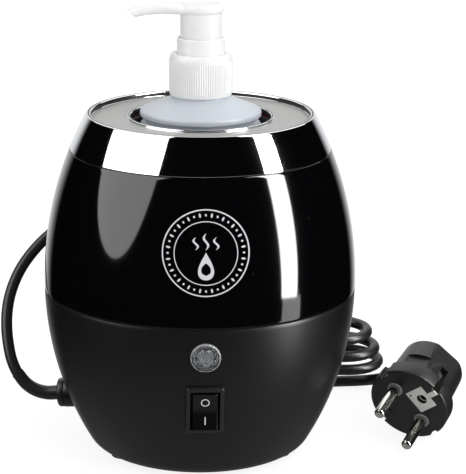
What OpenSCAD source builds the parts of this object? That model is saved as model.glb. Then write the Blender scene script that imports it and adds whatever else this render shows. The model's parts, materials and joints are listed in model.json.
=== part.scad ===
// Lotion warmer: a heated well that holds a pump bottle.
// Origin on the floor under the middle of the body, the switch faces -Y, +Z is up.

/* [Body] */
// Widest diameter of the round body
body_d = 137; // [132:1:144]
// Height of the widest point above the floor
belly_z = 76; // [74:0.5:80]
// Radius of the side's arc above the widest point
upper_arc_r = 157; // [150:1:170]
// Radius of the side's arc below the widest point
lower_arc_r = 140; // [134:1:150]
// Radius of the rounded bottom edge
base_edge_r = 9; // [7:0.5:11]
// Height of the top edge above the floor
rim_z = 151; // [149:0.5:154]
// Height of the joint under the chrome ring
upper_joint_z = 135.5; // [132:0.5:138]
// Height of the joint between the gloss shell and the satin base
lower_joint_z = 74; // [72:0.5:76]
// Wall of the moulded shells and the ring
shell_wall = 2.6; // [2.2:0.1:3]
// Height of the tongue that centres one shell in the next
tongue_h = 5; // [4:0.5:6]
// Thickness of the bottom plate
plate_t = 2.5; // [2:0.25:3.5]

/* [Top ring and well] */
// Width of the ring's upper lip
lip_w = 2; // [1.6:0.1:2.6]
// Depth of the flat panel below the lip
panel_drop = 2.2; // [1.6:0.1:3]
// Thickness of the flat panel
panel_t = 1.6; // [1.2:0.1:2]
// Diameter of the round opening in the panel
well_d = 60.8; // [58:0.2:63]
// Width of the bead round the opening
bead_w = 1.5; // [1.2:0.1:2]
// Height of the bead above the panel
bead_h = 1; // [0.6:0.1:1.6]
// Wall of the metal cup that lines the well
cup_wall = 1.2; // [1:0.1:1.6]
// Height of the cup's floor above the table
cup_floor_z = 31.2; // [30:0.2:33]
// Width of the cup's flange under the panel
cup_flange_w = 6.5; // [5:0.5:8]
// Thickness of the gasket between flange and panel
gasket_t = 1; // [0.8:0.1:1.4]

/* [Heater] */
// Thickness of the heater band
band_t = 1.6; // [1.2:0.1:2]
// Height of the heater band
band_h = 70; // [60:1:74]
// Gap between the thermal fuse and the sleeve above it
fuse_gap = 0.6; // [0.4:0.1:2]
// Gap in the band where its ends meet
band_split = 4; // [3:0.5:6]
// Thickness of the insulating sleeve
insulation_t = 4.2; // [3:0.1:4.6]
// How far the sleeve passes the band at each end
insulation_over = 2; // [1:0.5:2.5]
// Width of each strap round the sleeve
strap_w = 8; // [6:0.5:10]
// Thickness of each strap
strap_t = 0.8; // [0.6:0.1:1]
// Diameter of the thermostat's can
thermostat_d = 16; // [14:0.5:17]
// Height of the thermostat's can below its flange
thermostat_h = 5; // [4:0.5:6]
// Diameter of the thermal fuse
fuse_d = 4; // [3:0.2:4.4]
// Length of the thermal fuse
fuse_l = 10; // [8:0.5:11]
// Height of the carrier's lip round the cup
carrier_lip_h = 2.5; // [2:0.1:3.5]
// Height of the carrier ring under the cup
carrier_h = 3.7; // [3:0.1:4.2]
// Diameter of each leg of the carrier
carrier_leg_d = 8; // [7:0.5:9]

/* [Bottle] */
// Diameter of the bottle
bottle_d = 51.9; // [48:0.1:54]
// Wall of the bottle
bottle_wall = 1.2; // [1:0.1:1.6]
// Height of the bottle's straight side
bottle_side_h = 118; // [114:0.5:120]
// Radius of the bottle's rounded bottom edge
bottle_foot_r = 3; // [2:0.5:4]
// Rise of the rounded shoulder edge
shoulder_edge_h = 4.2; // [3.6:0.1:4.8]
// Rise of the sloping shoulder
shoulder_h = 3.9; // [3:0.1:4.5]
// Height of the neck above the shoulder
neck_h = 11.3; // [10.8:0.1:12]
// Diameter of the neck under its thread
neck_d = 21.6; // [21:0.1:22]
// Diameter over the thread of the neck
thread_d = 23.8; // [23.2:0.1:24]
// Bore of the neck
neck_bore = 16.8; // [15.6:0.1:17.6]

/* [Pump] */
// Outer diameter of the ribbed closure
closure_d = 27.4; // [27:0.1:29]
// Gap between the bottle's shoulder and the closure
closure_lift = 1.4; // [1.4:0.1:2.4]
// Bore of the closure over the neck
closure_bore = 24.6; // [24.4:0.1:25]
// Diameter of the collar that stands out of the closure
collar_d = 20.8; // [20.2:0.1:21.4]
// Height of the collar above the closure
collar_h = 6.8; // [6:0.1:7.6]
// Bore of the collar round the sliding skirt
collar_bore = 18.4; // [18.2:0.1:18.8]
// Diameter of the head's skirt
skirt_d = 17.9; // [17.4:0.1:18]
// Travel of the pump head
stroke = 9.5; // [7:0.5:10]
// Bore of the pump cylinder
cylinder_bore = 10; // [9.4:0.1:10.4]
// Wall of the pump cylinder
cylinder_wall = 1.2; // [1:0.1:1.4]
// Diameter of the hollow stem
stem_d = 6; // [5.6:0.1:6.4]
// Bore of the hollow stem
stem_bore = 3.2; // [2.6:0.1:3.4]
// Outer diameter of the spring
spring_d = 7.6; // [7.2:0.1:8]
// Wire of the spring
spring_wire = 0.7; // [0.6:0.05:0.8]
// Number of curls of the spring
spring_curls = 9; // [7:1:10]
// Diameter of the inlet ball
ball_d = 4.4; // [4:0.1:4.6]
// Diameter of the dip tube
dip_d = 6; // [5.6:0.1:6.4]
// Bore of the dip tube
dip_bore = 4; // [3.4:0.1:4.4]
// Width of the round pump head
head_d = 19.8; // [18.6:0.1:21]
// Height of the head above its skirt
head_h = 4.2; // [3.6:0.1:5]
// Reach of the spout from the pump's axis
spout_reach = 31.8; // [28:0.1:34]
// Width of the spout
spout_w = 7; // [6:0.1:8]

/* [Switch and lamp] */
// Height of the switch above the floor
switch_z = 37.6; // [36:0.2:40]
// Width of the switch's bezel
bezel_w = 16; // [15:0.1:17]
// Height of the switch's bezel
bezel_h = 22.4; // [22:0.1:23.5]
// How far the bezel stands out of its seat
bezel_t = 2.2; // [1.8:0.1:2.6]
// Width of the rocker
rocker_w = 10.5; // [9.6:0.1:10.8]
// Length of the rocker
rocker_l = 16.8; // [16:0.1:17.2]
// Half of the angle that the rocker swings through
rocker_half = 10; // [8:0.5:11]
// Depth of the switch's housing behind its seat
switch_depth = 14.5; // [13:0.5:15.5]
// Height of the lamp above the floor
lamp_z = 62; // [61:0.2:63]
// Diameter of the lamp's dome
lamp_d = 12.4; // [11.6:0.1:13.2]
// Diameter of the lamp's barrel
lamp_barrel_d = 10; // [9.4:0.1:10.4]
// Length of the lamp's barrel behind the shell
lamp_barrel_l = 14; // [12:0.5:15]

/* [Cord] */
// Diameter of the mains cord
cord_d = 5.2; // [5:0.1:5.6]
// Height of the gland above the floor
gland_z = 19.8; // [19:0.2:22]
// Diameter of the gland's flange
gland_flange_d = 13; // [12:0.2:13.2]
// Thickness of the gland's flange
gland_flange_t = 3; // [2.4:0.1:3.4]
// Diameter of the gland's barrel
gland_barrel_d = 9.2; // [8.6:0.1:9.6]
// Height of the shell's boss under the flange
gland_boss_h = 4.4; // [3.6:0.1:5]
// Length of the slim sleeve on the cord
sleeve_l = 20; // [14:1:24]
// Number of loops in the bundle of spare cord
hank_loops = 3; // [2:1:4]
// Length of the straight run of the bundle
hank_run = 100; // [90:1:104]
// Radius of the folds of the bundle
hank_fold_r = 15.6; // [15:0.1:17]
// How far the tie draws each run in
hank_waist = 8; // [5:0.5:9]
// Free gap between neighbouring runs
hank_gap = 0.6; // [0.5:0.05:0.9]

/* [Plug] */
// Diameter of the plug's round face
plug_d = 37; // [36:0.5:38]
// Thickness of the plug's round part
plug_face_t = 8; // [7:0.5:10]
// Depth of the whole plug behind its face
plug_depth = 30; // [26:1:32]
// Distance between the two pins
pin_spacing = 19; // [18.8:0.1:19.2]
// Diameter of each pin
pin_d = 4.8; // [4.6:0.1:5]
// Length of each pin
pin_l = 19; // [18.5:0.5:19.5]

/* [Feet and fasteners] */
// Height of the rubber feet
foot_h = 1.5; // [1.2:0.1:2]
// Diameter of the rubber feet
foot_d = 12; // [10:0.5:13]
// Thread diameter of the screws
screw_d = 2.9; // [2.6:0.1:3.1]
// Head diameter of the screws
screw_head_d = 5.6; // [5.2:0.1:6]

/* [Hidden] */
$fn = 64;

// Clearances
slide_gap = 0.2;
seat_gap = 0.1;
bore_gap = 0.15;
body_gap = 0.3;
// Small overlap that makes a cut pass through a face
cut = 0.5;

// Body outline
body_r = body_d / 2;
edge_z = foot_h + base_edge_r;
flat_r = body_r - lower_arc_r + sqrt(pow(lower_arc_r - base_edge_r, 2) - pow(belly_z - edge_z, 2));
edge_turn = atan2(edge_z - belly_z, flat_r - body_r + lower_arc_r);
edge_top_z = edge_z + base_edge_r * sin(edge_turn);
plate_top_z = foot_h + plate_t;
plate_r = flat_r - body_gap;

// Radius of the body's side at a height, drawn in by an inset
function arc_r(z) = z > belly_z ? upper_arc_r : lower_arc_r;
function side_r(z, inset = 0) = body_r - arc_r(z) + sqrt(pow(arc_r(z) - inset, 2) - pow(z - belly_z, 2));
function side_points(z0, z1, inset, steps) =
    [for (i = [0:steps]) let (z = z0 + (z1 - z0) * i / steps) [side_r(z, inset), z]];
function edge_points(inset, steps) =
    [for (i = [0:steps]) let (a = -90 + i * (90 + edge_turn) / steps)
        [flat_r + (base_edge_r - inset) * cos(a), edge_z + (base_edge_r - inset) * sin(a)]];
function reversed(list) = [for (i = [len(list) - 1:-1:0]) list[i]];
// Turn of the side's outward direction below the horizontal
function side_tilt(z) = asin((belly_z - z) / arc_r(z));

// Screws, bosses and feet
screw_bore = screw_d + 2 * bore_gap;
boss_d = 8;
boss_r_at = flat_r - 8;
boss_top_z = 16;
boss_turns = [0, 120, 225];
head_t = 1.5;
screw_l = 9;
foot_r_at = flat_r - 4;
foot_turns = [62, 180, 298];
foot_stem_d = 4;
ear_turns = [60, 180, 300];
ear_top_z = lower_joint_z - 10;
ear_t = 4;
ear_screw_reach = 11;
ear_r_at = body_r - 8;
shell_boss_top_z = lower_joint_z + 8;

// Well and heater
well_r = well_d / 2;
panel_z = rim_z - panel_drop;
cup_r = well_r - seat_gap;
cup_outer_r = cup_r + cup_wall;
cup_top_z = panel_z - panel_t - gasket_t;
cup_base_z = cup_floor_z - cup_wall;
band_r = cup_outer_r + seat_gap;
sleeve_r = band_r + band_t + seat_gap;
strap_r = sleeve_r + insulation_t + seat_gap;
strap_levels = [0.18, 0.82];
thermostat_post_x = thermostat_d / 2 + 3;
thermostat_post_h = 4;
thermostat_flange_z = cup_base_z - thermostat_post_h - seat_gap;
carrier_top_z = cup_base_z - seat_gap;
carrier_outer_r = cup_outer_r + slide_gap + 1.8;
carrier_inner_r = cup_outer_r - 9;
carrier_leg_r_at = (carrier_outer_r + carrier_inner_r) / 2;
carrier_turns = [90, 200, 330];
fuse_turn = 150;
fuse_lead = 2.2;
fuse_z = carrier_top_z + carrier_lip_h + fuse_lead + 1;
band_z = fuse_z + fuse_l + fuse_gap + insulation_over;
fuse_r_at = cup_outer_r + fuse_d / 2 + seat_gap;

// Bottle and pump, from the cup's floor up
bottle_r = bottle_d / 2;
bottle_z = cup_floor_z + body_gap;
side_top_z = bottle_z + bottle_side_h;
edge_top_r = bottle_r - 1.5;
shoulder_z = side_top_z + shoulder_edge_h;
neck_z = shoulder_z + shoulder_h;
neck_foot_r = neck_d / 2 + 2;
neck_top_z = neck_z + neck_h;
gasket_z = neck_top_z + seat_gap;
neck_gasket_t = 1.1;
cylinder_flange_z = gasket_z + neck_gasket_t + seat_gap;
cylinder_flange_t = 1.4;
collar_z = cylinder_flange_z + cylinder_flange_t + seat_gap;
collar_flange_t = 3.5;
closure_roof_z = collar_z + collar_flange_t + slide_gap;
closure_roof_t = 1.6;
closure_top_z = closure_roof_z + closure_roof_t;
closure_z = neck_z + closure_lift;
collar_top_z = closure_top_z + collar_h;
cylinder_r = cylinder_bore / 2;
piston_top_z = collar_z - 9.5;
piston_h = 7;
piston_z = piston_top_z - piston_h;
spring_z = piston_z - 21.5;
chamber_d = ball_d + 1.8;
seat_bore = ball_d - 1.2;
ball_seat_z = spring_z - 4.9;
ball_lift = 1.2;
ball_z = ball_seat_z + sqrt(pow(ball_d / 2, 2) - pow(seat_bore / 2, 2)) + 0.05;
dip_top_z = ball_seat_z - 2.6;
dip_socket_h = 10;
dip_z = bottle_z + bottle_wall + 1.3;
skirt_r = skirt_d / 2;
head_z = collar_top_z + stroke + 1;
head_top_z = head_z + head_h;
collar_floor_t = 0.8;
skirt_z = collar_z + collar_floor_t + body_gap + stroke;
stem_top_z = head_z - 0.6;
channel_d = 3;

// Switch
rocker_slot_w = rocker_w + 0.5;
rocker_slot_l = rocker_l + 1.4;
housing_w = rocker_slot_w + 2;
housing_h = rocker_slot_l + 1.2;
bezel_seat = 0.9;
pivot_z = -0.5;
pivot_d = 1.8;
tab_rows = [-5.5, 0, 5.5];

// Lamp
lamp_seat = 0.4;
lamp_dome_h = 2.2;
lamp_wall = 0.8;
bulb_d = 5;

// Cord and gland
cord_r = cord_d / 2;
gland_turn = -98;
gland_tilt = 4;
gland_reach = side_r(gland_z) + gland_boss_h + gland_flange_t;
floor_gap = 0.1;
cord_sides = 10;
sleeve_r0 = 3.25;
sleeve_r1 = 2.85;
// Route of the cord from the gland, up beside the body, over and down behind it onto the bundle
cord_route = [[-63.5, 8.9, 19.8], [-68.6, 9.6, 19.4], [-73.7, 10.4, 20.5], [-78.3, 11.8, 23.2],
    [-82.2, 13.5, 27.8], [-84.8, 15.8, 33.4], [-86.2, 18.6, 39.4], [-87, 21.8, 45.6], [-87, 25.2, 52],
    [-86, 28.8, 58.4], [-83.9, 32.4, 64.6], [-80.7, 35.8, 70.6], [-76.4, 39, 76.2], [-71.2, 42, 81.4],
    [-65.2, 44.8, 86], [-58.8, 47.9, 89.6], [-52, 51.8, 91.6], [-45.7, 56.8, 91.1], [-40.7, 61.8, 87.8],
    [-37.6, 66, 82.2], [-36.2, 69, 75], [-36, 70.5, 67], [-36.5, 70.6, 58.8], [-37.1, 69.6, 50.8],
    [-36.9, 67.7, 43.2], [-35.3, 65.2, 35.8], [-32, 62.7, 29.3], [-26.8, 60.8, 24.2], [-19.8, 60.2, 21.3],
    [-11.7, 61.45, 20.56]];
// Route of the lead from the bundle's middle, under its right folds, to the plug
lead_route = [[22.3, 67, 4.2], [28.4, 67, 4], [34.6, 67, 3.4], [41, 67, 2.9], [48, 67, 2.7], [55.8, 67, 2.7],
    [63.8, 67, 2.7], [71.4, 67, 2.9], [77.8, 66, 3.4], [83.6, 63, 4.8], [88.1, 58.5, 7], [91.2, 52.4, 9.9],
    [92.2, 49, 11.1]];
// Route of the cord inside the base, from the gland to the terminals
supply_route = [[-63.5, 8.9, 19.8], [-55.6, 7.8, 20.4], [-47.7, 6.7, 20.9], [-42.4, 5.9, 20],
    [-38.4, 5.3, 17], [-35.4, 4.8, 12.8], [-32, 4.3, 9.2], [-27.4, 4, 7], [-22, 4, 6.9], [-15.9, 4, 6.9]];
block_x = -8.5;
block_w = 14;
block_l = 24;
block_h = 9;
clamp_w = 8;
clamp_l = 19;
clamp_h = 7.6;
clamp_screw_y = 6.6;
clamp_at = [block_x - block_w / 2 - clamp_w / 2 - 2.5, 4];

// Bundle of spare cord, lying flat on the floor behind the body
hank_left_x = -27.7;
hank_y = 74.6;
hank_z = floor_gap + cord_r;
hank_step = cord_d + hank_gap;
hank_join = 16;
hank_sides = 6;
fold_rings = 7;
run_rings = 5;
tie_t = 1.2;
tie_w = 9;
tie_x = hank_left_x + hank_run / 2;

// Plug, lying tilted on the floor behind the right side
plug_at = [93.9, -5.4, 17.4];
plug_turn = [121.4, 49.4, -6];
neck_turn = 120;
neck_from = -20;
neck_l = 42;
clip_w = 8;
clip_t = 1.2;
clip_at = plug_d / 2 - 2.7;

// Vectors and paths
function unit(v) = v / norm(v);
function tangent(path, i) = unit(path[min(i + 1, len(path) - 1)] - path[max(i - 1, 0)]);
function carried(path, i, u) = let (t = tangent(path, i)) unit(u - (u * t) * t);
// Side direction at each point, carried along the path so that the tube doesn't twist
function side_dirs(path, first, i = 0, done = []) =
    i == len(path) ? done
    : let (u = carried(path, i, i == 0 ? first : done[i - 1]))
        side_dirs(path, first, i + 1, concat(done, [u]));
function ring_at(path, dirs, i, r, sides) =
    let (t = tangent(path, i), u = dirs[i], v = cross(t, u))
    [for (j = [0:sides - 1]) let (a = 360 * j / sides) path[i] + r * (cos(a) * u + sin(a) * v)];
function tube_points(path, first, radii, sides) =
    let (dirs = side_dirs(path, first))
    [for (i = [0:len(path) - 1]) each ring_at(path, dirs, i, radii[min(i, len(radii) - 1)], sides)];
function wall_faces(rings, sides, from = 0) =
    [for (i = [0:rings - 2], j = [0:sides - 1])
        let (k = (j + 1) % sides, a = from + i * sides + j, b = a + sides, c = from + (i + 1) * sides + k)
        each [[a, b, c], [a, c, from + i * sides + k]]];
function flipped(faces) = [for (f = faces) [f[2], f[1], f[0]]];
function fan_faces(from, sides) = [for (j = [1:sides - 2]) [from, from + j, from + j + 1]];

// Solid round tube along a path
module tube(path, first, r, sides) {
    points = tube_points(path, first, [r], sides);
    last = (len(path) - 1) * sides;
    polyhedron(points, concat(wall_faces(len(path), sides), fan_faces(0, sides),
        flipped(fan_faces(last, sides))), 10);
}

// Hollow tube along a path, with its own outer radius at each point
module hollow_tube(path, first, radii, bore_r, sides) {
    rings = len(path);
    from = rings * sides;
    points = concat(tube_points(path, first, radii, sides), tube_points(path, first, [bore_r], sides));
    rims = [for (end = [0, rings - 1], j = [0:sides - 1])
        let (k = (j + 1) % sides, a = end * sides + j, b = end * sides + k)
        each end == 0 ? [[a, b, from + b], [a, from + b, from + a]]
            : [[b, a, from + a], [b, from + a, from + b]]];
    polyhedron(points, concat(wall_faces(rings, sides), flipped(wall_faces(rings, sides, from)), rims), 10);
}

// Ring with a rectangular section
module ring(r0, r1, z, h) {
    translate([0, 0, z])
        difference() {
            cylinder(r = r1, h = h);
            translate([0, 0, -cut]) cylinder(r = r0, h = h + 2 * cut);
        }
}

// Band of the body's wall between two heights
module shell_band(z0, z1, steps) {
    rotate_extrude($fn = 128)
        polygon(concat(side_points(z0, z1, 0, steps), side_points(z1, z0, shell_wall, steps)));
}

// Inside of the body, drawn in from its surface, for clipping ribs and bosses
module body_core(inset, z0, z1) {
    rotate_extrude($fn = 128)
        polygon(concat([[0, z0]], side_points(z0, z1, inset, 6), [[0, z1]]));
}

// Places the children on the front of the body, with +Z pointing outwards
module on_front(z) {
    translate([0, -side_r(z), z])
        rotate([90 + side_tilt(z), 0, 0]) children();
}

// Places the children at the outer face of the gland, with +Z along the leaving cord
module at_gland() {
    rotate([0, 0, gland_turn])
        translate([0, -gland_reach, gland_z])
        rotate([90 + gland_tilt, 0, 0]) children();
}

// Repeats the children round the body, at a distance from its axis
module around(turns, r) {
    for (turn = turns)
        rotate([0, 0, turn]) translate([0, -r, 0]) children();
}

// Screw that points up, with its head's underside at z = 0
module screw_up(length) {
    translate([0, 0, -head_t]) cylinder(d = screw_head_d, h = head_t, $fn = 32);
    cylinder(d = screw_d, h = length, $fn = 32);
}

// Box centred on X and Y that stands on a height
module block(w, l, z, h) {
    translate([-w / 2, -l / 2, z]) cube([w, l, h]);
}

// Shells and ring
module base_shell() {
    color([0.07, 0.07, 0.07])
    difference() {
        union() {
            rotate_extrude($fn = 128)
                polygon(concat(edge_points(0, 6), side_points(edge_top_z, lower_joint_z, 0, 10),
                    side_points(lower_joint_z, edge_top_z, shell_wall, 10),
                    reversed(edge_points(shell_wall, 6))));
            intersection() {
                union() {
                    around(boss_turns, boss_r_at) {
                        translate([0, 0, plate_top_z + seat_gap])
                            cylinder(d = boss_d, h = boss_top_z - plate_top_z, $fn = 32);
                        translate([-1, -20, plate_top_z + 4]) cube([2, 18, boss_top_z - plate_top_z - 5]);
                    }
                    around(ear_turns, ear_r_at) {
                        translate([0, 0, ear_top_z - ear_t]) cylinder(d = boss_d + 1, h = ear_t, $fn = 32);
                        translate([-4, -8, ear_top_z - ear_t]) cube([8, 8, ear_t]);
                    }
                }
                body_core(1, plate_top_z + seat_gap, lower_joint_z);
            }
            at_gland() translate([0, 0, -gland_flange_t - gland_boss_h - 2.5])
                cylinder(d = gland_flange_d + 0.4, h = gland_boss_h + 2.5);
        }
        // Room for the tongue of the upper shell
        translate([0, 0, lower_joint_z - tongue_h - body_gap])
            cylinder(r = side_r(lower_joint_z) - shell_wall / 2, h = tongue_h + 1, $fn = 128);
        on_front(switch_z) {
            block(bezel_w + 2 * slide_gap, bezel_h + 2 * slide_gap, -bezel_seat, 6);
            block(housing_w + 2 * slide_gap, housing_h + 2 * slide_gap, -8, 12);
        }
        on_front(lamp_z) {
            translate([0, 0, -lamp_seat]) cylinder(d = lamp_d + 2 * slide_gap, h = 6);
            translate([0, 0, -8]) cylinder(d = lamp_barrel_d + 2 * seat_gap, h = 12);
        }
        at_gland() translate([0, 0, -20]) cylinder(d = gland_barrel_d + 2 * bore_gap, h = 22);
        around(boss_turns, boss_r_at) cylinder(d = screw_bore, h = boss_top_z - 2, $fn = 32);
        around(ear_turns, ear_r_at)
            translate([0, 0, ear_top_z - ear_t - 1]) cylinder(d = screw_bore + 0.2, h = ear_t + 2, $fn = 32);
    }
}

module upper_shell() {
    tongue_r = side_r(lower_joint_z) - shell_wall / 2 - slide_gap;
    color([0.03, 0.03, 0.035])
    difference() {
        union() {
            shell_band(lower_joint_z, upper_joint_z, 10);
            ring(side_r(lower_joint_z) - shell_wall, tongue_r,
                lower_joint_z - tongue_h, tongue_h + 1, $fn = 128);
            intersection() {
                around(ear_turns, ear_r_at) {
                    translate([0, 0, ear_top_z + body_gap])
                        cylinder(d = boss_d - 1, h = shell_boss_top_z - ear_top_z, $fn = 32);
                    translate([-1.2, -8, lower_joint_z + 1]) cube([2.4, 7, shell_boss_top_z - lower_joint_z]);
                }
                body_core(1, ear_top_z, upper_joint_z);
            }
        }
        // Room for the tongue of the chrome ring
        translate([0, 0, upper_joint_z - tongue_h - body_gap])
            cylinder(r = side_r(upper_joint_z) - shell_wall / 2, h = tongue_h + 1, $fn = 128);
        around(ear_turns, ear_r_at)
            translate([0, 0, ear_top_z])
                cylinder(d = screw_bore, h = shell_boss_top_z - ear_top_z - 2, $fn = 32);
    }
}

module top_ring() {
    lip_r = side_r(rim_z) - lip_w;
    underside = panel_z - panel_t;
    tongue_r = side_r(upper_joint_z) - shell_wall / 2 - slide_gap;
    lip_round = 0.6;
    outline = concat(
        side_points(upper_joint_z, rim_z - lip_round, 0, 6),
        [[side_r(rim_z) - lip_round, rim_z], [lip_r + lip_round, rim_z], [lip_r, rim_z - lip_round]],
        [[lip_r, panel_z], [well_r + bead_w, panel_z]],
        [[well_r + bead_w, panel_z + bead_h - 0.4], [well_r + bead_w - 0.4, panel_z + bead_h]],
        [[well_r + 0.4, panel_z + bead_h], [well_r, panel_z + bead_h - 0.4], [well_r, underside]],
        side_points(underside, upper_joint_z, shell_wall, 5));
    color([0.8, 0.8, 0.8])
    union() {
        rotate_extrude($fn = 128) polygon(outline);
        ring(side_r(upper_joint_z) - shell_wall - seat_gap, tongue_r,
            upper_joint_z - tongue_h, tongue_h + 1, $fn = 128);
    }
}

// Well, heater and what holds them
module heater_cup() {
    flange_r = cup_outer_r + cup_flange_w;
    color([0.72, 0.73, 0.75])
    difference() {
        union() {
            translate([0, 0, cup_base_z]) cylinder(r = cup_outer_r, h = cup_top_z - cup_base_z, $fn = 96);
            translate([0, 0, cup_top_z - cup_wall]) cylinder(r = flange_r, h = cup_wall, $fn = 96);
            for (x = [-thermostat_post_x, thermostat_post_x])
                translate([x, 0, cup_base_z - thermostat_post_h])
                    cylinder(d = 5.6, h = thermostat_post_h + cut);
        }
        translate([0, 0, cup_floor_z]) cylinder(r = cup_r, h = cup_top_z, $fn = 96);
        for (x = [-thermostat_post_x, thermostat_post_x])
            translate([x, 0, cup_base_z - thermostat_post_h - cut])
                cylinder(d = screw_bore, h = thermostat_post_h + cut, $fn = 32);
    }
}

module cup_gasket() {
    color([0.5, 0.12, 0.1])
        ring(cup_outer_r, cup_outer_r + cup_flange_w - 1, cup_top_z, gasket_t, $fn = 96);
}

module heater_band() {
    color([0.75, 0.45, 0.25])
    difference() {
        ring(band_r, band_r + band_t, band_z, band_h, $fn = 96);
        translate([-band_split / 2, 0, band_z - cut]) cube([band_split, band_r + 10, band_h + 2 * cut]);
    }
}

module cup_insulation() {
    color([0.9, 0.88, 0.8])
        ring(sleeve_r, sleeve_r + insulation_t,
            band_z - insulation_over, band_h + 2 * insulation_over, $fn = 96);
}

module band_clamps() {
    color([0.7, 0.7, 0.72])
    for (level = strap_levels)
        difference() {
            ring(strap_r, strap_r + strap_t, band_z + level * band_h - strap_w / 2, strap_w, $fn = 96);
            translate([-1, strap_r - 2, band_z]) cube([2, 6, band_h]);
        }
}

module thermostat() {
    flange_w = 2 * thermostat_post_x + 6;
    color([0.65, 0.66, 0.68])
    difference() {
        union() {
            translate([0, 0, thermostat_flange_z - thermostat_h])
                cylinder(d = thermostat_d - 1, h = thermostat_h - 0.5);
            block(flange_w, 7, thermostat_flange_z - 0.8, 0.8);
            translate([0, 0, thermostat_flange_z - 0.8])
                cylinder(d = thermostat_d, h = thermostat_post_h + 0.8);
            for (x = [-4, 4])
                translate([x - 0.4, -2.4, thermostat_flange_z - thermostat_h - 5]) cube([0.8, 4.8, 6]);
        }
        for (x = [-thermostat_post_x, thermostat_post_x])
            translate([x, 0, thermostat_flange_z - 2]) cylinder(d = screw_bore, h = 3, $fn = 32);
    }
}

module thermostat_screws() {
    color([0.75, 0.75, 0.75])
    for (x = [-thermostat_post_x, thermostat_post_x])
        translate([x, 0, thermostat_flange_z - 0.8 - seat_gap]) screw_up(thermostat_post_h);
}

module thermal_fuse() {
    color([0.8, 0.8, 0.75])
    around([fuse_turn], fuse_r_at) {
        translate([0, 0, fuse_z]) cylinder(d = fuse_d, h = fuse_l, $fn = 32);
        translate([0, 0, fuse_z - fuse_lead]) cylinder(d = 0.8, h = fuse_lead, $fn = 16);
    }
}

module fuse_clip() {
    color([0.7, 0.7, 0.72])
    around([fuse_turn], fuse_r_at)
        difference() {
            translate([0, 0, fuse_z + fuse_l / 2 - 2]) cylinder(d = fuse_d + 1.4, h = 4, $fn = 32);
            translate([0, 0, fuse_z]) cylinder(d = fuse_d + 2 * seat_gap, h = fuse_l, $fn = 32);
            translate([-fuse_d, 0.6, fuse_z]) cube([2 * fuse_d, fuse_d, fuse_l]);
        }
}

module cup_carrier() {
    leg_z = plate_top_z + seat_gap;
    ring_z = carrier_top_z - carrier_h;
    color([0.15, 0.14, 0.13])
    difference() {
        union() {
            ring(carrier_inner_r, carrier_outer_r, ring_z, carrier_h, $fn = 96);
            ring(cup_outer_r + slide_gap, carrier_outer_r,
                carrier_top_z - cut, carrier_lip_h + cut, $fn = 96);
            around(carrier_turns, carrier_leg_r_at)
                translate([0, 0, leg_z]) cylinder(d = carrier_leg_d, h = ring_z - leg_z + cut, $fn = 32);
        }
        around(carrier_turns, carrier_leg_r_at)
            translate([0, 0, leg_z - cut]) cylinder(d = screw_bore, h = 12, $fn = 32);
    }
}

// Bottom plate, feet and screws
module screw_hole() {
    cylinder(d = screw_bore + 0.2, h = plate_top_z + 1, $fn = 32);
    translate([0, 0, -1]) cylinder(d = screw_head_d + 0.4, h = foot_h + head_t + seat_gap + 1, $fn = 32);
}

module bottom_plate() {
    color([0.06, 0.06, 0.06])
    difference() {
        translate([0, 0, foot_h]) cylinder(r = plate_r, h = plate_t, $fn = 96);
        around(boss_turns, boss_r_at) screw_hole();
        around(carrier_turns, carrier_leg_r_at) screw_hole();
        around(foot_turns, foot_r_at) cylinder(d = foot_stem_d + 2 * bore_gap, h = plate_top_z + 1, $fn = 32);
        for (x = [14, 18, 22])
            translate([x, -9, 0]) cube([1.8, 18, plate_top_z + 1]);
        for (side = [-1, 1])
            translate([clamp_at[0], clamp_at[1] + side * clamp_screw_y, foot_h + 0.6])
                cylinder(d = screw_bore, h = 4, $fn = 32);
    }
}

module rubber_feet() {
    color([0.1, 0.1, 0.1])
    around(foot_turns, foot_r_at) {
        cylinder(d = foot_d, h = foot_h, $fn = 48);
        cylinder(d = foot_stem_d, h = plate_top_z + 1.4, $fn = 32);
        translate([0, 0, plate_top_z + seat_gap]) cylinder(d = foot_stem_d + 1.2, h = 1.2, $fn = 32);
    }
}

module bottom_screws() {
    color([0.7, 0.7, 0.72])
    around(boss_turns, boss_r_at) translate([0, 0, foot_h + head_t]) screw_up(screw_l);
}

module carrier_screws() {
    color([0.7, 0.7, 0.72])
    around(carrier_turns, carrier_leg_r_at) translate([0, 0, foot_h + head_t]) screw_up(screw_l);
}

module shell_screws() {
    color([0.7, 0.7, 0.72])
    around(ear_turns, ear_r_at) translate([0, 0, ear_top_z - ear_t - seat_gap])
        screw_up(ear_t + ear_screw_reach);
}

// Switch
module switch_housing() {
    color([0.05, 0.05, 0.05])
    on_front(switch_z)
    difference() {
        union() {
            translate([0, 0, -bezel_seat]) linear_extrude(bezel_t)
                union() {
                    square([bezel_w, bezel_h - 2], center = true);
                    square([bezel_w - 2, bezel_h], center = true);
                    for (x = [-1, 1], y = [-1, 1])
                        translate([x * (bezel_w / 2 - 1), y * (bezel_h / 2 - 1)]) circle(r = 1, $fn = 24);
                }
            block(housing_w, housing_h, -switch_depth, switch_depth - bezel_seat + cut);
        }
        block(rocker_slot_w, rocker_slot_l, 3 - switch_depth, switch_depth + 4);
        translate([0, 0, pivot_z]) rotate([0, 90, 0])
            cylinder(d = pivot_d + 2 * seat_gap, h = rocker_slot_w + 1.2, center = true, $fn = 32);
        for (y = tab_rows)
            translate([0, y, 0]) block(5.2, 1.2, -switch_depth - 1, 5);
    }
}

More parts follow.
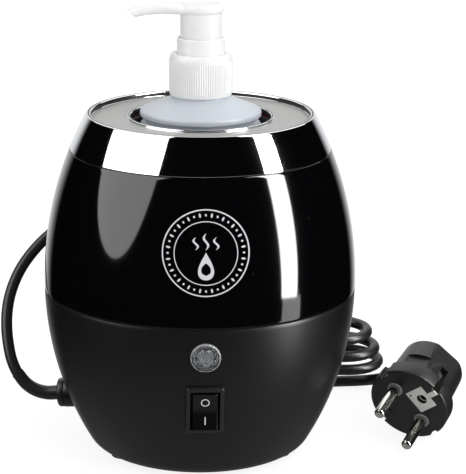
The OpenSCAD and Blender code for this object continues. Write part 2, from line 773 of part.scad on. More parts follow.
module switch_rocker() {
    half = rocker_l / 2;
    color([0.93, 0.93, 0.92])
    on_front(switch_z) translate([0, 0, pivot_z]) rotate([-rocker_half, 0, 0]) {
        rotate([90, 0, 90]) linear_extrude(rocker_w, center = true)
            polygon([[-half, 3.6], [-half / 2, 2.75], [0, 2.4], [half / 2, 2.75], [half, 3.6],
                [half - 1, -2.2], [2.4, -5.6], [-2.4, -5.6], [1 - half, -2.2]]);
        rotate([0, 90, 0]) cylinder(d = pivot_d, h = rocker_slot_w + 0.8, center = true, $fn = 32);
    }
}

module switch_terminals() {
    color([0.8, 0.7, 0.4])
    on_front(switch_z)
    for (y = tab_rows)
        translate([0, y, 0]) block(4.8, 0.8, -switch_depth - 5.5, 8);
}

// Pilot lamp
module lamp_lens() {
    barrel_r = lamp_barrel_d / 2;
    inner_r = barrel_r - lamp_wall;
    color([0.85, 0.88, 0.9, 0.6])
    on_front(lamp_z)
    rotate_extrude()
        polygon([[barrel_r, -3.2], [barrel_r, -lamp_seat], [lamp_d / 2, -lamp_seat], [lamp_d / 2, 0.7],
            [lamp_d / 2 - 0.5, 1.2], [lamp_d / 2 - 2, 1.8], [lamp_d / 2 - 4, lamp_dome_h], [0, lamp_dome_h],
            [0, 1.2], [inner_r - 1, 1.2], [inner_r, 0.4], [inner_r, -3.2]]);
}

module lamp_body() {
    barrel_r = lamp_barrel_d / 2;
    plug_r = barrel_r - lamp_wall - seat_gap;
    color([0.85, 0.85, 0.83])
    on_front(lamp_z)
    difference() {
        union() {
            translate([0, 0, -lamp_barrel_l]) cylinder(r = barrel_r - seat_gap, h = lamp_barrel_l - 3.3);
            translate([0, 0, -5]) cylinder(r = plug_r, h = 3.4);
        }
        translate([0, 0, 2 - lamp_barrel_l]) cylinder(d = bulb_d + 1.4, h = lamp_barrel_l);
        for (x = [-1.5, 1.5])
            translate([x, 0, -lamp_barrel_l - 1]) cylinder(d = 1.6, h = 4, $fn = 24);
    }
}

module lamp_clip() {
    color([0.7, 0.7, 0.72])
    on_front(lamp_z)
        ring(lamp_barrel_d / 2, lamp_barrel_d / 2 + 2, -shell_wall - 1.8, 1);
}

module lamp_bulb() {
    color([0.9, 0.6, 0.4, 0.7])
    on_front(lamp_z) translate([0, 0, 2 + seat_gap - lamp_barrel_l])
        union() {
            cylinder(d = bulb_d, h = 8, $fn = 32);
            translate([0, 0, 8]) sphere(d = bulb_d, $fn = 32);
        }
}

// Cord
module cord_gland() {
    color([0.04, 0.04, 0.04])
    at_gland()
    difference() {
        union() {
            translate([0, 0, -gland_flange_t]) cylinder(d = gland_flange_d, h = gland_flange_t - 0.8);
            translate([0, 0, -0.8]) cylinder(d1 = gland_flange_d, d2 = gland_flange_d - 1.6, h = 0.8);
            translate([0, 0, -16]) cylinder(d = gland_barrel_d, h = 16 - gland_flange_t + cut);
            translate([0, 0, -gland_flange_t - gland_boss_h - 6.6])
                cylinder(d = gland_barrel_d + 1.4, h = 1.2);
        }
        translate([0, 0, -20]) cylinder(d = cord_d + 2 * bore_gap, h = 24, $fn = 48);
    }
}

// Number of the route's points that the sleeve covers
sleeve_points = 1 + round(sleeve_l / 5.4);
sleeve_path = [for (i = [0:sleeve_points - 1]) cord_route[i]];

module cord_sleeve() {
    radii = [for (i = [0:sleeve_points - 1])
        sleeve_r0 + (sleeve_r1 - sleeve_r0) * i / (sleeve_points - 1) + (cord_d - 5.2) / 2];
    color([0.04, 0.04, 0.04])
        hollow_tube(sleeve_path, [0, 0, 1], radii, cord_r + 0.05, cord_sides);
}

module power_cord() {
    color([0.05, 0.05, 0.05])
        tube(cord_route, [0, 0, 1], cord_r, cord_sides);
}

// Distance that a run is drawn in by at a distance along it, flat under the tie
function drawn_in(s) =
    let (end = min(s, hank_run - s), ramp = hank_run / 2 - tie_w / 2 - cord_d / 2)
    hank_waist * pow(sin(90 * min(1, end / ramp)), 2);
// Share of the right folds' fanning out that a run has at a distance along it
function fanned(s) = pow(sin(90 * max(0, 2 * s / hank_run - 1)), 2);
// Height that a layer's right fold is fanned out by, and the distance that it reaches to the right
function fold_lift(layer) = 3 + 0.85 * pow(layer - 1, 2);
function fold_shift(layer) = 2 - 1.9 * pow(layer - 1, 1.6);
function layer_z(layer, s) =
    hank_z + layer * hank_step + (tie_t + body_gap) * drawn_in(s) / hank_waist + fold_lift(layer) * fanned(s);
function run_point(s, layer, back) =
    [hank_left_x + s + fold_shift(max(1, layer)) * fanned(s),
        hank_y + (back ? 1 : -1) * (hank_fold_r - drawn_in(s)), layer_z(layer, s)];
function fold_point(a, layer, right) =
    [hank_left_x + (right ? hank_run + fold_shift(layer) : 0) + hank_fold_r * cos(a),
        hank_y + hank_fold_r * sin(a), layer_z(layer, right ? hank_run : 0)];
// One loop: along the front to the right, round, back along the rear and one layer down, and round
function loop_points(layer, from) = concat(
    [for (i = [from:run_rings + 1]) run_point(hank_run * i / (run_rings + 1), layer, false)],
    [for (i = [1:fold_rings - 1]) fold_point(-90 + 180 * i / fold_rings, layer, true)],
    [for (i = [0:run_rings + 1]) let (s = i / (run_rings + 1))
        run_point(hank_run * (1 - s), layer - (1 - cos(180 * s)) / 2, true)],
    [for (i = [1:fold_rings - 1]) fold_point(90 + 180 * i / fold_rings, layer - 1, false)]);
hank_route = concat(
    [for (s = [0, 5.2]) run_point(hank_join + s, hank_loops, false)],
    [for (layer = [hank_loops:-1:1]) each loop_points(layer, layer == hank_loops ? 2 : 0)],
    [for (s = [0, 0.12, 0.24, 0.36]) run_point(hank_run * s, 0, false)],
    [run_point(hank_run / 2 - cord_d, 0, false), run_point(hank_run / 2, 0, false)]);

function segment_gap(p, q, r, s, n) =
    min([for (i = [0:n], j = [0:n]) norm(p + (q - p) * i / n - r - (s - r) * j / n)]) - cord_d;
hank_least_gap = min([for (i = [0:len(hank_route) - 2], j = [i + 8:1:len(hank_route) - 2])
    if (norm(hank_route[i] - hank_route[j]) < 30)
        segment_gap(hank_route[i], hank_route[i + 1], hank_route[j], hank_route[j + 1], 6)]);

module cord_hank() {
    echo(hank_least_gap = hank_least_gap);
    color([0.05, 0.05, 0.05])
        tube(hank_route, [0, 0, 1], cord_r, hank_sides);
}

module cord_tie() {
    width = 2 * (hank_fold_r - hank_waist + cord_r + body_gap);
    height = hank_loops * hank_step + cord_d + 2 * body_gap;
    color([0.04, 0.04, 0.04])
    translate([tie_x, hank_y, floor_gap + tie_t + height / 2])
        rotate([90, 0, 90]) linear_extrude(tie_w, center = true)
        difference() {
            square([width + 2 * tie_t, height + 2 * tie_t], center = true);
            square([width, height], center = true);
        }
}

module plug_lead() {
    color([0.05, 0.05, 0.05])
        tube(lead_route, [0, 1, 0], cord_r, cord_sides);
}

module supply_lead() {
    color([0.85, 0.85, 0.82])
        tube(supply_route, [0, 0, 1], cord_r, cord_sides);
}

// Plug, drawn with its face at z = 0, the pins along +Z and side by side along X
module at_plug() {
    translate(plug_at) rotate(plug_turn) children();
}

module plug_body() {
    color([0.05, 0.05, 0.05])
    at_plug()
    difference() {
        union() {
            difference() {
                union() {
                    translate([0, 0, -plug_face_t]) cylinder(d = plug_d, h = plug_face_t - 0.8);
                    translate([0, 0, -0.8]) cylinder(d1 = plug_d, d2 = plug_d - 1.6, h = 0.8);
                }
                for (side = [-1, 1]) {
                    translate([-clip_w / 2 - 0.4, side > 0 ? clip_at : -clip_at - 9, -plug_face_t - cut])
                        cube([clip_w + 0.8, 9, plug_face_t + 2 * cut]);
                    translate([side * plug_d / 2, 0, 0])
                        block(3.2, 5.2, -plug_face_t - cut, plug_face_t + 2 * cut);
                }
            }
            translate([0, 0, 1 - plug_depth])
                cylinder(d1 = plug_d - 8, d2 = plug_d - 6, h = plug_depth - plug_face_t - 0.6, $fn = 64);
            translate([0, 0, -plug_depth]) cylinder(d1 = plug_d - 10, d2 = plug_d - 8, h = 1, $fn = 64);
            translate([0, 0, neck_from]) rotate([neck_turn, 0, 0])
                cylinder(r1 = 6.2, r2 = cord_r + 1.1, h = neck_l, $fn = 32);
        }
        for (x = [-1, 1])
            translate([x * pin_spacing / 2, 0, -8]) cylinder(d = pin_d + 2 * seat_gap, h = 10, $fn = 32);
        translate([0, 10, -6]) cylinder(d = 5, h = 8, $fn = 32);
    }
}

module plug_pins() {
    color([0.78, 0.77, 0.72])
    at_plug()
    for (x = [-1, 1])
        translate([x * pin_spacing / 2, 0, 0]) {
            translate([0, 0, -7.9]) cylinder(d = pin_d, h = pin_l + 7.9 - 1.4, $fn = 32);
            translate([0, 0, pin_l - 1.4]) cylinder(d1 = pin_d, d2 = pin_d - 2, h = 1.4, $fn = 32);
        }
}

module plug_earth() {
    color([0.78, 0.77, 0.72])
    at_plug() {
        for (side = [-1, 1])
            translate([0, side * (clip_at + seat_gap + clip_t / 2), 0])
                block(clip_w, clip_t, 1 - plug_face_t, plug_face_t - 1.6);
        translate([0, 10, -5.9])
            difference() {
                cylinder(d = 4.8, h = 5.4, $fn = 32);
                translate([0, 0, 1]) cylinder(d = 3.8, h = 6, $fn = 32);
            }
    }
}

// Terminals and wires inside the base
module cable_clamp() {
    base_z = plate_top_z + seat_gap;
    color([0.8, 0.8, 0.78])
    translate([clamp_at[0], clamp_at[1], 0])
    difference() {
        block(clamp_w, clamp_l, base_z, clamp_h);
        translate([0, 0, base_z + 2.8]) rotate([0, 90, 0])
            cylinder(d = cord_d + 2 * bore_gap, h = clamp_w + 2, center = true);
        block(clamp_w + 2, cord_d + 2 * bore_gap, base_z - cut, 3.3);
        for (side = [-1, 1])
            translate([0, side * clamp_screw_y, base_z - cut])
                cylinder(d = screw_bore, h = clamp_h + 2, $fn = 32);
    }
}

module clamp_screws() {
    color([0.7, 0.7, 0.72])
    for (side = [-1, 1])
        translate([clamp_at[0], clamp_at[1] + side * clamp_screw_y, plate_top_z + clamp_h + 2 * seat_gap])
            rotate([180, 0, 0]) screw_up(screw_l);
}

module terminal_block() {
    base_z = plate_top_z + seat_gap;
    color([0.9, 0.9, 0.88])
    translate([block_x, 4, 0])
    difference() {
        block(block_w, block_l, base_z, block_h);
        for (y = [-7.5, 0, 7.5]) {
            translate([0, y, base_z + 5.4]) rotate([0, 90, 0])
                cylinder(d = 3, h = block_w + 2, center = true, $fn = 24);
            for (x = [-4, 4])
                translate([x, y, base_z + 5.4]) cylinder(d = 3.2, h = block_h, $fn = 24);
        }
    }
}

wire_d = 2.2;
wire_sides = 6;
tab_y = -side_r(switch_z) + (switch_depth + 6.5) * cos(side_tilt(switch_z));
tab_z = switch_z + (switch_depth + 6.5) * sin(side_tilt(switch_z));
wire_start_x = block_x + block_w / 2 + 0.4;
wire_z = plate_top_z + 5.5;

module switch_wires() {
    color([0.45, 0.25, 0.12]) {
        tube([[wire_start_x, -3.5, wire_z], [1.5, -3.5, wire_z], [6, -8, wire_z], [9, -18, wire_z + 2],
            [9.5, -30, wire_z + 5],
            [7, tab_y - 1, tab_z - 20], [3, tab_y + 1, tab_z - 12], [0, tab_y + 2.6, tab_z - 6.4]],
            [0, 0, 1], wire_d / 2, wire_sides);
        tube([[0, tab_y + 1.2, tab_z], [-3, tab_y + 3, tab_z - 8], [-8, tab_y + 2, tab_z - 16],
            [-9, -33, 19], [-8, -24, 15], [-6.5, -13, 16], [-4.6, -5, 14.9],
            [-4, 0, thermostat_flange_z - thermostat_h - 6.6]],
            [1, 0, 0], wire_d / 2, wire_sides);
    }
}

module heater_wires() {
    fuse_way = [sin(fuse_turn), -cos(fuse_turn), 0];
    fuse_foot = (fuse_r_at + 0.5) * fuse_way + [0, 0, fuse_z - 1.2];
    band_foot_r = band_r + band_t / 2;
    color([0.8, 0.25, 0.2]) {
        tube([[4, 1, thermostat_flange_z - thermostat_h - 6.4], [8, 8, 11], [12, 20, 11], [16, 33, 15],
            fuse_foot + 5 * fuse_way - [0, 0, 9], fuse_foot + 4.4 * fuse_way - [0, 0, 3],
            fuse_foot + 2 * fuse_way - [0, 0, 0.4], fuse_foot],
            [1, 0, 0], 0.9, wire_sides);
        tube([[wire_start_x, 11.5, wire_z], [4, 16, wire_z], [8, 24, wire_z + 2], [8, 33, wire_z + 6],
            [5, 39, 22], [0, 40, 30], [-3, 37, 37], [-4, band_foot_r, band_z - 5],
            [-4, band_foot_r - 0.35, band_z - 0.4]],
            [1, 0, 0], 0.6, wire_sides);
    }
}

module lamp_wires() {
    lamp_y = -side_r(lamp_z) + (lamp_barrel_l - 1) * cos(side_tilt(lamp_z));
    lamp_back_z = lamp_z + (lamp_barrel_l - 1) * sin(side_tilt(lamp_z));
    color([0.2, 0.3, 0.7])
    for (x = [-1.5, 1.5])
        tube([[x, lamp_y, lamp_back_z], [x, lamp_y + 2.6, lamp_back_z + 0.2],
            [x * 2, lamp_y + 4.4, lamp_back_z - 3], [x * 3, lamp_y + 3.6, lamp_back_z - 9],
            [x * 2, tab_y - 0.5, tab_z + 8],
            [x, tab_y - 1.4, tab_z + (x < 0 ? 1.6 : 6.6)]],
            [1, 0, 0], 0.6, wire_sides);
}

// Bottle
module bottle() {
    wall = bottle_wall;
    corner = [for (i = [0:4]) let (a = -90 + 22.5 * i)
        [bottle_r - bottle_foot_r * (1 - cos(a)), bottle_z + bottle_foot_r * (1 + sin(a))]];
    edge = [for (i = [0:4]) let (a = 22.5 * i)
        [edge_top_r + 1.5 * cos(a), side_top_z + (shoulder_edge_h - 0.6) * sin(a)]];
    inner_r = bottle_r - wall;
    outline = concat(
        [[0, bottle_z]], corner, edge,
        [[edge_top_r - 1, shoulder_z], [neck_foot_r + 0.6, neck_z], [neck_foot_r, neck_z + 0.4]],
        [[neck_foot_r, neck_z + 1.2], [neck_d / 2, neck_z + 1.6], [neck_d / 2, neck_top_z]],
        [[neck_bore / 2, neck_top_z], [neck_bore / 2, neck_z - 1]],
        [[edge_top_r - 2, shoulder_z - wall], [inner_r, side_top_z - 0.4]],
        [[inner_r, bottle_z + wall + 2], [inner_r - 2, bottle_z + wall], [0, bottle_z + wall]]);
    color([0.86, 0.89, 0.93, 0.7])
    union() {
        rotate_extrude($fn = 96) polygon(outline);
        for (level = [3.4, 7.2])
            ring(neck_d / 2 - 0.2, thread_d / 2, neck_z + level, 1.3);
    }
}

// Pump
module neck_gasket() {
    color([0.85, 0.85, 0.82])
        ring(cylinder_r + cylinder_wall + 0.4, neck_d / 2 - slide_gap, gasket_z, neck_gasket_t);
}

module pump_closure() {
    r = closure_d / 2;
    bore_r = closure_bore / 2;
    hole_r = collar_d / 2 + slide_gap;
    color([0.95, 0.95, 0.95])
    rotate_extrude()
        polygon([[bore_r, closure_z], [r - 0.3, closure_z], [r, closure_z + 0.3], [r, closure_top_z - 0.8],
            [r - 0.8, closure_top_z], [hole_r, closure_top_z], [hole_r, closure_roof_z],
            [bore_r, closure_roof_z]]);
}

module pump_collar() {
    plug_bottom_z = piston_top_z + body_gap;
    color([0.95, 0.95, 0.95])
    difference() {
        union() {
            translate([0, 0, collar_z]) cylinder(r = closure_bore / 2 - body_gap, h = collar_flange_t);
            translate([0, 0, collar_z]) cylinder(d = collar_d, h = collar_top_z - collar_z - 0.5);
            translate([0, 0, collar_top_z - 0.5]) cylinder(d1 = collar_d, d2 = collar_d - 1, h = 0.5);
            translate([0, 0, plug_bottom_z])
                cylinder(r = cylinder_r - bore_gap, h = collar_z - plug_bottom_z + cut);
        }
        translate([0, 0, collar_z + collar_floor_t]) cylinder(d = collar_bore, h = 30);
        translate([0, 0, plug_bottom_z - cut]) cylinder(d = stem_d + 2 * slide_gap, h = 30, $fn = 48);
    }
}

module pump_cylinder() {
    wall_r = cylinder_r + cylinder_wall;
    socket_r = dip_d / 2 + 0.05;
    dip_foot_z = dip_top_z - dip_socket_h;
    color([0.92, 0.92, 0.92])
    difference() {
        union() {
            translate([0, 0, cylinder_flange_z]) cylinder(r = closure_bore / 2 - 0.9, h = cylinder_flange_t);
            translate([0, 0, ball_seat_z]) cylinder(r = wall_r, h = cylinder_flange_z - ball_seat_z + cut);
            translate([0, 0, dip_foot_z]) cylinder(r = dip_d / 2 + 1.4, h = ball_seat_z - dip_foot_z + cut);
        }
        translate([0, 0, spring_z - 0.2]) cylinder(r = cylinder_r, h = 60);
        translate([0, 0, ball_seat_z]) cylinder(d = chamber_d, h = 10);
        translate([0, 0, dip_foot_z - cut]) cylinder(d = seat_bore, h = 20, $fn = 48);
        translate([0, 0, dip_foot_z - cut]) cylinder(r = socket_r, h = dip_socket_h + cut, $fn = 48);
    }
}

spring_rings = 8 * spring_curls;
spring_h = piston_z - spring_z - 0.2;
spring_path = [for (i = [0:spring_rings])
    let (a = 360 * i / 8, rise = (spring_h - spring_wire) * i / spring_rings)
    [(spring_d - spring_wire) / 2 * cos(a), (spring_d - spring_wire) / 2 * sin(a),
        spring_z + 0.1 + spring_wire / 2 + rise]];

module pump_spring() {
    color([0.75, 0.75, 0.77])
        tube(spring_path, [0, 0, 1], spring_wire / 2, 6);
}

module inlet_ball() {
    color([0.8, 0.8, 0.82])
        translate([0, 0, ball_z]) sphere(d = ball_d, $fn = 32);
}

module piston() {
    color([0.9, 0.9, 0.88])
    difference() {
        translate([0, 0, piston_z]) cylinder(r = cylinder_r - bore_gap, h = piston_h);
        translate([0, 0, piston_z + 1.5]) cylinder(r = stem_d / 2 + 0.05, h = piston_h, $fn = 48);
        translate([0, 0, piston_z - cut]) cylinder(d = stem_bore, h = piston_h, $fn = 32);
    }
}

module piston_stem() {
    color([0.9, 0.9, 0.88])
    translate([0, 0, piston_z + 1.6])
    difference() {
        cylinder(d = stem_d, h = stem_top_z - piston_z - 1.6, $fn = 48);
        translate([0, 0, -cut]) cylinder(d = stem_bore, h = 80, $fn = 32);
    }
}

module pump_head() {
    socket_r = stem_d / 2 + 1.2;
    spout_x = head_d / 2 - 3;
    color([0.95, 0.95, 0.95])
    difference() {
        union() {
            translate([0, 0, skirt_z]) cylinder(r = skirt_r, h = head_z - skirt_z + cut);
            translate([0, 0, head_z]) cylinder(d = head_d, h = head_h * 0.5);
            hull() {
                translate([0, 0, head_z + head_h * 0.4]) cylinder(d = head_d, h = head_h * 0.2, $fn = 48);
                translate([1.5, 0, head_top_z - 0.4]) cylinder(d = head_d - 4, h = 0.4, $fn = 48);
            }
            hull() {
                translate([-spout_x, -head_d / 3, head_z]) cube([2, head_d / 1.5, head_h * 0.8]);
                translate([-16, -spout_w / 2, head_z - 0.3]) cube([3, spout_w, head_h + 0.4]);
            }
            hull() {
                translate([-16, -spout_w / 2, head_z - 0.3]) cube([3, spout_w, head_h + 0.4]);
                translate([2.8 - spout_reach, -spout_w / 2 + 0.6, head_z - 2.1]) cube([2, spout_w - 1.2, 4]);
                translate([-spout_reach, -spout_w / 2 + 0.9, head_z - 0.4]) cube([2, spout_w - 1.8, 1.6]);
            }
        }
        difference() {
            translate([0, 0, skirt_z - cut]) cylinder(r = skirt_r - 1.1, h = head_z - skirt_z + cut);
            translate([0, 0, skirt_z + 4]) cylinder(r = socket_r, h = 30);
        }
        translate([0, 0, skirt_z - cut])
            cylinder(r = stem_d / 2 + 0.05, h = stem_top_z - skirt_z + cut + 0.1, $fn = 48);
        translate([0, 0, head_z - 1]) cylinder(d = channel_d, h = 3, $fn = 32);
        translate([1, 0, head_z + 1.1]) rotate([0, -94, 0])
            cylinder(d = channel_d - 0.6, h = spout_reach + 6, $fn = 32);
    }
}

module dip_tube() {
    color([0.9, 0.92, 0.94, 0.8])
        ring(dip_bore / 2, dip_d / 2, dip_z, dip_top_z - 0.1 - dip_z, $fn = 48);
}

base_shell();
upper_shell();
top_ring();
heater_cup();
cup_gasket();
heater_band();
cup_insulation();
band_clamps();
thermostat();
thermostat_screws();
thermal_fuse();
fuse_clip();
cup_carrier();
carrier_screws();
bottom_plate();
rubber_feet();
bottom_screws();
shell_screws();
switch_housing();
switch_rocker();
switch_terminals();
lamp_lens();
lamp_body();
lamp_clip();
lamp_bulb();
cord_gland();
cord_sleeve();
power_cord();
cord_hank();
cord_tie();
plug_lead();
plug_body();
plug_pins();
plug_earth();
supply_lead();
cable_clamp();
clamp_screws();
terminal_block();
switch_wires();
heater_wires();
lamp_wires();
bottle();
neck_gasket();
pump_closure();
pump_collar();
pump_cylinder();
pump_spring();
inlet_ball();
piston();
piston_stem();
pump_head();
dip_tube();
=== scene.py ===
"""Looks of the lotion warmer: finishes, detailed pieces, cord, studio and camera.

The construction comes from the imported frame. Lengths in the classes are millimetres, as on the
real object, and each mesh is scaled to metres when it is made into an object. A corner of an
outline is a point with the radius that rounds it, or without one where it stays sharp.
"""

import json
import logging
import math
from dataclasses import dataclass
from enum import Enum
from functools import cache
from typing import Iterable, Sequence

import bmesh
import bpy
from mathutils import Matrix, Vector

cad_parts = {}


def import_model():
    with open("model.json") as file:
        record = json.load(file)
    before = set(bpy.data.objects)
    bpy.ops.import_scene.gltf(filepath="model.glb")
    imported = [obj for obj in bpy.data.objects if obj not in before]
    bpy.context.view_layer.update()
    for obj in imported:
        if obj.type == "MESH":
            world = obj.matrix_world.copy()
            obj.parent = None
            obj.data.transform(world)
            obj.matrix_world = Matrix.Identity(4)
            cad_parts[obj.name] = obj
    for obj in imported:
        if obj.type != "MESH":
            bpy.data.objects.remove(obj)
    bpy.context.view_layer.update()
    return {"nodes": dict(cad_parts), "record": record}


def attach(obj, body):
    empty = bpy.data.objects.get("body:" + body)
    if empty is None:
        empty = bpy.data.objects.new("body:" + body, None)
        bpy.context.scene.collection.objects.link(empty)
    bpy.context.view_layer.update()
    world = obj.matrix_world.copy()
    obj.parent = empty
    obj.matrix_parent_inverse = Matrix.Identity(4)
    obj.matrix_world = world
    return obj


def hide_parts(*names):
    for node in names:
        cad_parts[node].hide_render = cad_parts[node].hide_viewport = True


LOG = logging.getLogger("lotion_warmer")
MM = 0.001
IDENTITY = Matrix.Identity(4)
MERGE_MM = 1e-4
SMOOTH_DEG = 40.0
FLAT_CORNER = math.radians(88)
BRUSH_STRETCH = 0.06
TINT_SCALE, FIBRE_SCALE = 26.0, 400.0
FAR_SHADE = 0.9
SUBSURFACE_MM = 1.5
DUST_COLOR = (0.03, 0.03, 0.032, 1.0)
DUST_ROUGHNESS = 0.45
WHITE = (1.0, 1.0, 1.0, 1.0)
COOL_WHITE = (0.97, 0.98, 1.0, 1.0)

Color = tuple[float, float, float]
Point = tuple[float, float, float]
Corner = tuple[float, ...]
Profile = list[tuple[float, float]]
Section = tuple[Vector, Vector, Vector, float, float, float]
BM = bmesh.types.BMesh
Obj = bpy.types.Object
Tree = bpy.types.NodeTree
Node = bpy.types.Node


class Body(Enum):
    """The rigid bodies that pieces ride on."""

    HOUSING = "housing"
    BOTTLE = "bottle"
    PUMP_UNIT = "pump_unit"
    CLOSURE = "closure"
    HEAD = "head"
    ROCKER = "rocker"


class Texture(Enum):
    """The fine surface textures that a finish can have."""

    PLAIN = "plain"
    BRUSHED = "brushed"
    FIBROUS = "fibrous"


def add_node(tree: Tree, kind: str, values: dict[str | int, object] | None = None, **settings: object) -> Node:
    """Adds a shader node.

    Args:
        tree: The tree that it joins.
        kind: Its type, without ShaderNode.
        values: Fixed values by input socket.
        settings: Its own settings, made first.

    Returns:
        The node.
    """
    node = tree.nodes.new(f"ShaderNode{kind}")
    for key, setting in settings.items():
        setattr(node, key, setting)
    for socket, value in (values or {}).items():
        node.inputs[socket].default_value = value
    return node


def wire(tree: Tree, *links: tuple[Node, str | int, Node, str | int]) -> None:
    """Links sockets, each link given as a node, its output, the next node and its input."""
    for source, output, target, entry in links:
        tree.links.new(source.outputs[output], target.inputs[entry])


def start_group(name: str, inputs: dict[str, object], outputs: dict[str, str]) -> tuple[Tree, Node, Node]:
    """Makes an empty node group with its sockets.

    Args:
        name: The group's name.
        inputs: Default value by socket: None for a vector, four numbers for a colour.
        outputs: Kind by socket.

    Returns:
        The group's tree, its input node and its output node.
    """
    tree = bpy.data.node_groups.new(name, "ShaderNodeTree")
    for socket, default in inputs.items():
        kind = "Vector" if default is None else "Color" if isinstance(default, tuple) else "Float"
        item = tree.interface.new_socket(socket, in_out="INPUT", socket_type=f"NodeSocket{kind}")
        if default is not None:
            item.default_value = default
    for socket, kind in outputs.items():
        tree.interface.new_socket(socket, in_out="OUTPUT", socket_type=f"NodeSocket{kind}")
    return tree, tree.nodes.new("NodeGroupInput"), tree.nodes.new("NodeGroupOutput")


@cache
def fine_grain() -> Tree:
    """Group for a fine surface texture: a height, and a roughness that drifts."""
    tree, given, out = start_group(
        "fine_grain", {"Vector": None, "Scale": 900.0, "Roughness": 0.3, "Variation": 0.05},
        {"Height": "Float", "Roughness": "Float"})
    fine = add_node(tree, "TexNoise", {"Detail": 4.0})
    broad = add_node(tree, "TexNoise", {"Scale": 38.0, "Detail": 3.0})
    centred = add_node(tree, "Math", {1: 0.5}, operation="SUBTRACT")
    scaled = add_node(tree, "Math", operation="MULTIPLY_ADD")
    wire(tree, (given, "Vector", fine, "Vector"), (given, "Scale", fine, "Scale"),
         (given, "Vector", broad, "Vector"), (broad, "Fac", centred, 0), (centred, 0, scaled, 0),
         (given, "Variation", scaled, 1), (given, "Roughness", scaled, 2),
         (fine, "Fac", out, "Height"), (scaled, 0, out, "Roughness"))
    return tree


@cache
def tint_drift() -> Tree:
    """Group that lets a colour drift a little lighter and darker over the surface."""
    tree, given, out = start_group(
        "tint_drift", {"Vector": None, "Scale": 30.0, "Color": (0.5, 0.5, 0.5, 1.0),
                       "Far Color": (0.4, 0.4, 0.4, 1.0)}, {"Color": "Color"})
    noise = add_node(tree, "TexNoise", {"Detail": 5.0})
    mix = add_node(tree, "Mix", data_type="RGBA")
    wire(tree, (given, "Vector", noise, "Vector"), (given, "Scale", noise, "Scale"),
         (noise, "Fac", mix, "Factor"), (given, "Color", mix, "A"), (given, "Far Color", mix, "B"),
         (mix, "Result", out, "Color"))
    return tree


@cache
def dust() -> Tree:
    """Group for sparse dust specks: a mask that is 1 on a speck."""
    tree, given, out = start_group("dust", {"Vector": None, "Scale": 260.0, "Size": 0.035}, {"Mask": "Float"})
    cells = add_node(tree, "TexVoronoi")
    near = add_node(tree, "Math", operation="LESS_THAN")
    wire(tree, (given, "Vector", cells, "Vector"), (given, "Scale", cells, "Scale"),
         (cells, "Distance", near, 0), (given, "Size", near, 1), (near, 0, out, "Mask"))
    return tree


@dataclass(frozen=True)
class Finish:
    """One finish of the object, built as a Principled material with its own grain.

    Its name is the record's material slot, or else slot names the one that it counts as.
    """

    name: str
    color: Color
    roughness: float
    texture: Texture = Texture.PLAIN
    far_color: Color | None = None
    metallic: float = 0.0
    coat: float = 0.0
    ior: float = 1.5
    transmission: float = 0.0
    subsurface: float = 0.0
    sheen: float = 0.0
    variation: float = 0.05
    grain: float = 900.0
    depth: float = 0.02
    dusty: bool = False
    slot: str = ""

    def build(self) -> bpy.types.Material:
        """Makes the material, or returns the one already made."""
        label = f"{self.name}_finish"
        found = bpy.data.materials.get(label)
        if found is not None:
            return found
        material = bpy.data.materials.new(label)
        material.use_nodes = True
        tree = material.node_tree
        shader = tree.nodes["Principled BSDF"]
        along = BRUSH_STRETCH if self.texture is Texture.BRUSHED else 1.0
        far = self.far_color or tuple(FAR_SHADE * c for c in self.color)
        tint_scale = FIBRE_SCALE if self.texture is Texture.FIBROUS else TINT_SCALE
        place = add_node(tree, "TexCoord")
        mapping = add_node(tree, "Mapping", {"Scale": (1.0, 1.0, along)})
        grain = add_node(tree, "Group", {"Scale": self.grain, "Roughness": self.roughness,
                                         "Variation": self.variation}, node_tree=fine_grain())
        tint = add_node(tree, "Group", {"Color": (*self.color, 1.0), "Far Color": (*far, 1.0),
                                        "Scale": tint_scale}, node_tree=tint_drift())
        bump = add_node(tree, "Bump", {"Strength": 1.0, "Distance": self.depth * MM})
        wire(tree, (place, "Object", mapping, "Vector"), (mapping, "Vector", grain, "Vector"),
             (place, "Object", tint, "Vector"), (grain, "Height", bump, "Height"),
             (bump, "Normal", shader, "Normal"))
        if self.dusty:
            specks = add_node(tree, "Group", node_tree=dust())
            color = add_node(tree, "Mix", {"B": DUST_COLOR}, data_type="RGBA")
            rough = add_node(tree, "Mix", {"B": DUST_ROUGHNESS})
            wire(tree, (place, "Object", specks, "Vector"), (specks, "Mask", color, "Factor"),
                 (tint, "Color", color, "A"), (color, "Result", shader, "Base Color"),
                 (specks, "Mask", rough, "Factor"), (grain, "Roughness", rough, "A"),
                 (rough, "Result", shader, "Roughness"))
        else:
            wire(tree, (grain, "Roughness", shader, "Roughness"), (tint, "Color", shader, "Base Color"))
        for socket, value in (("Metallic", self.metallic), ("IOR", self.ior), ("Coat Weight", self.coat),
                              ("Transmission Weight", self.transmission),
                              ("Subsurface Weight", self.subsurface), ("Subsurface Scale", SUBSURFACE_MM * MM),
                              ("Sheen Weight", self.sheen)):
            shader.inputs[socket].default_value = value
        return material


def metal(name: str, color: Color, roughness: float, **more: float) -> Finish:
    """A brushed metal's finish."""
    return Finish(name, color, roughness, Texture.BRUSHED, metallic=1.0, **more)


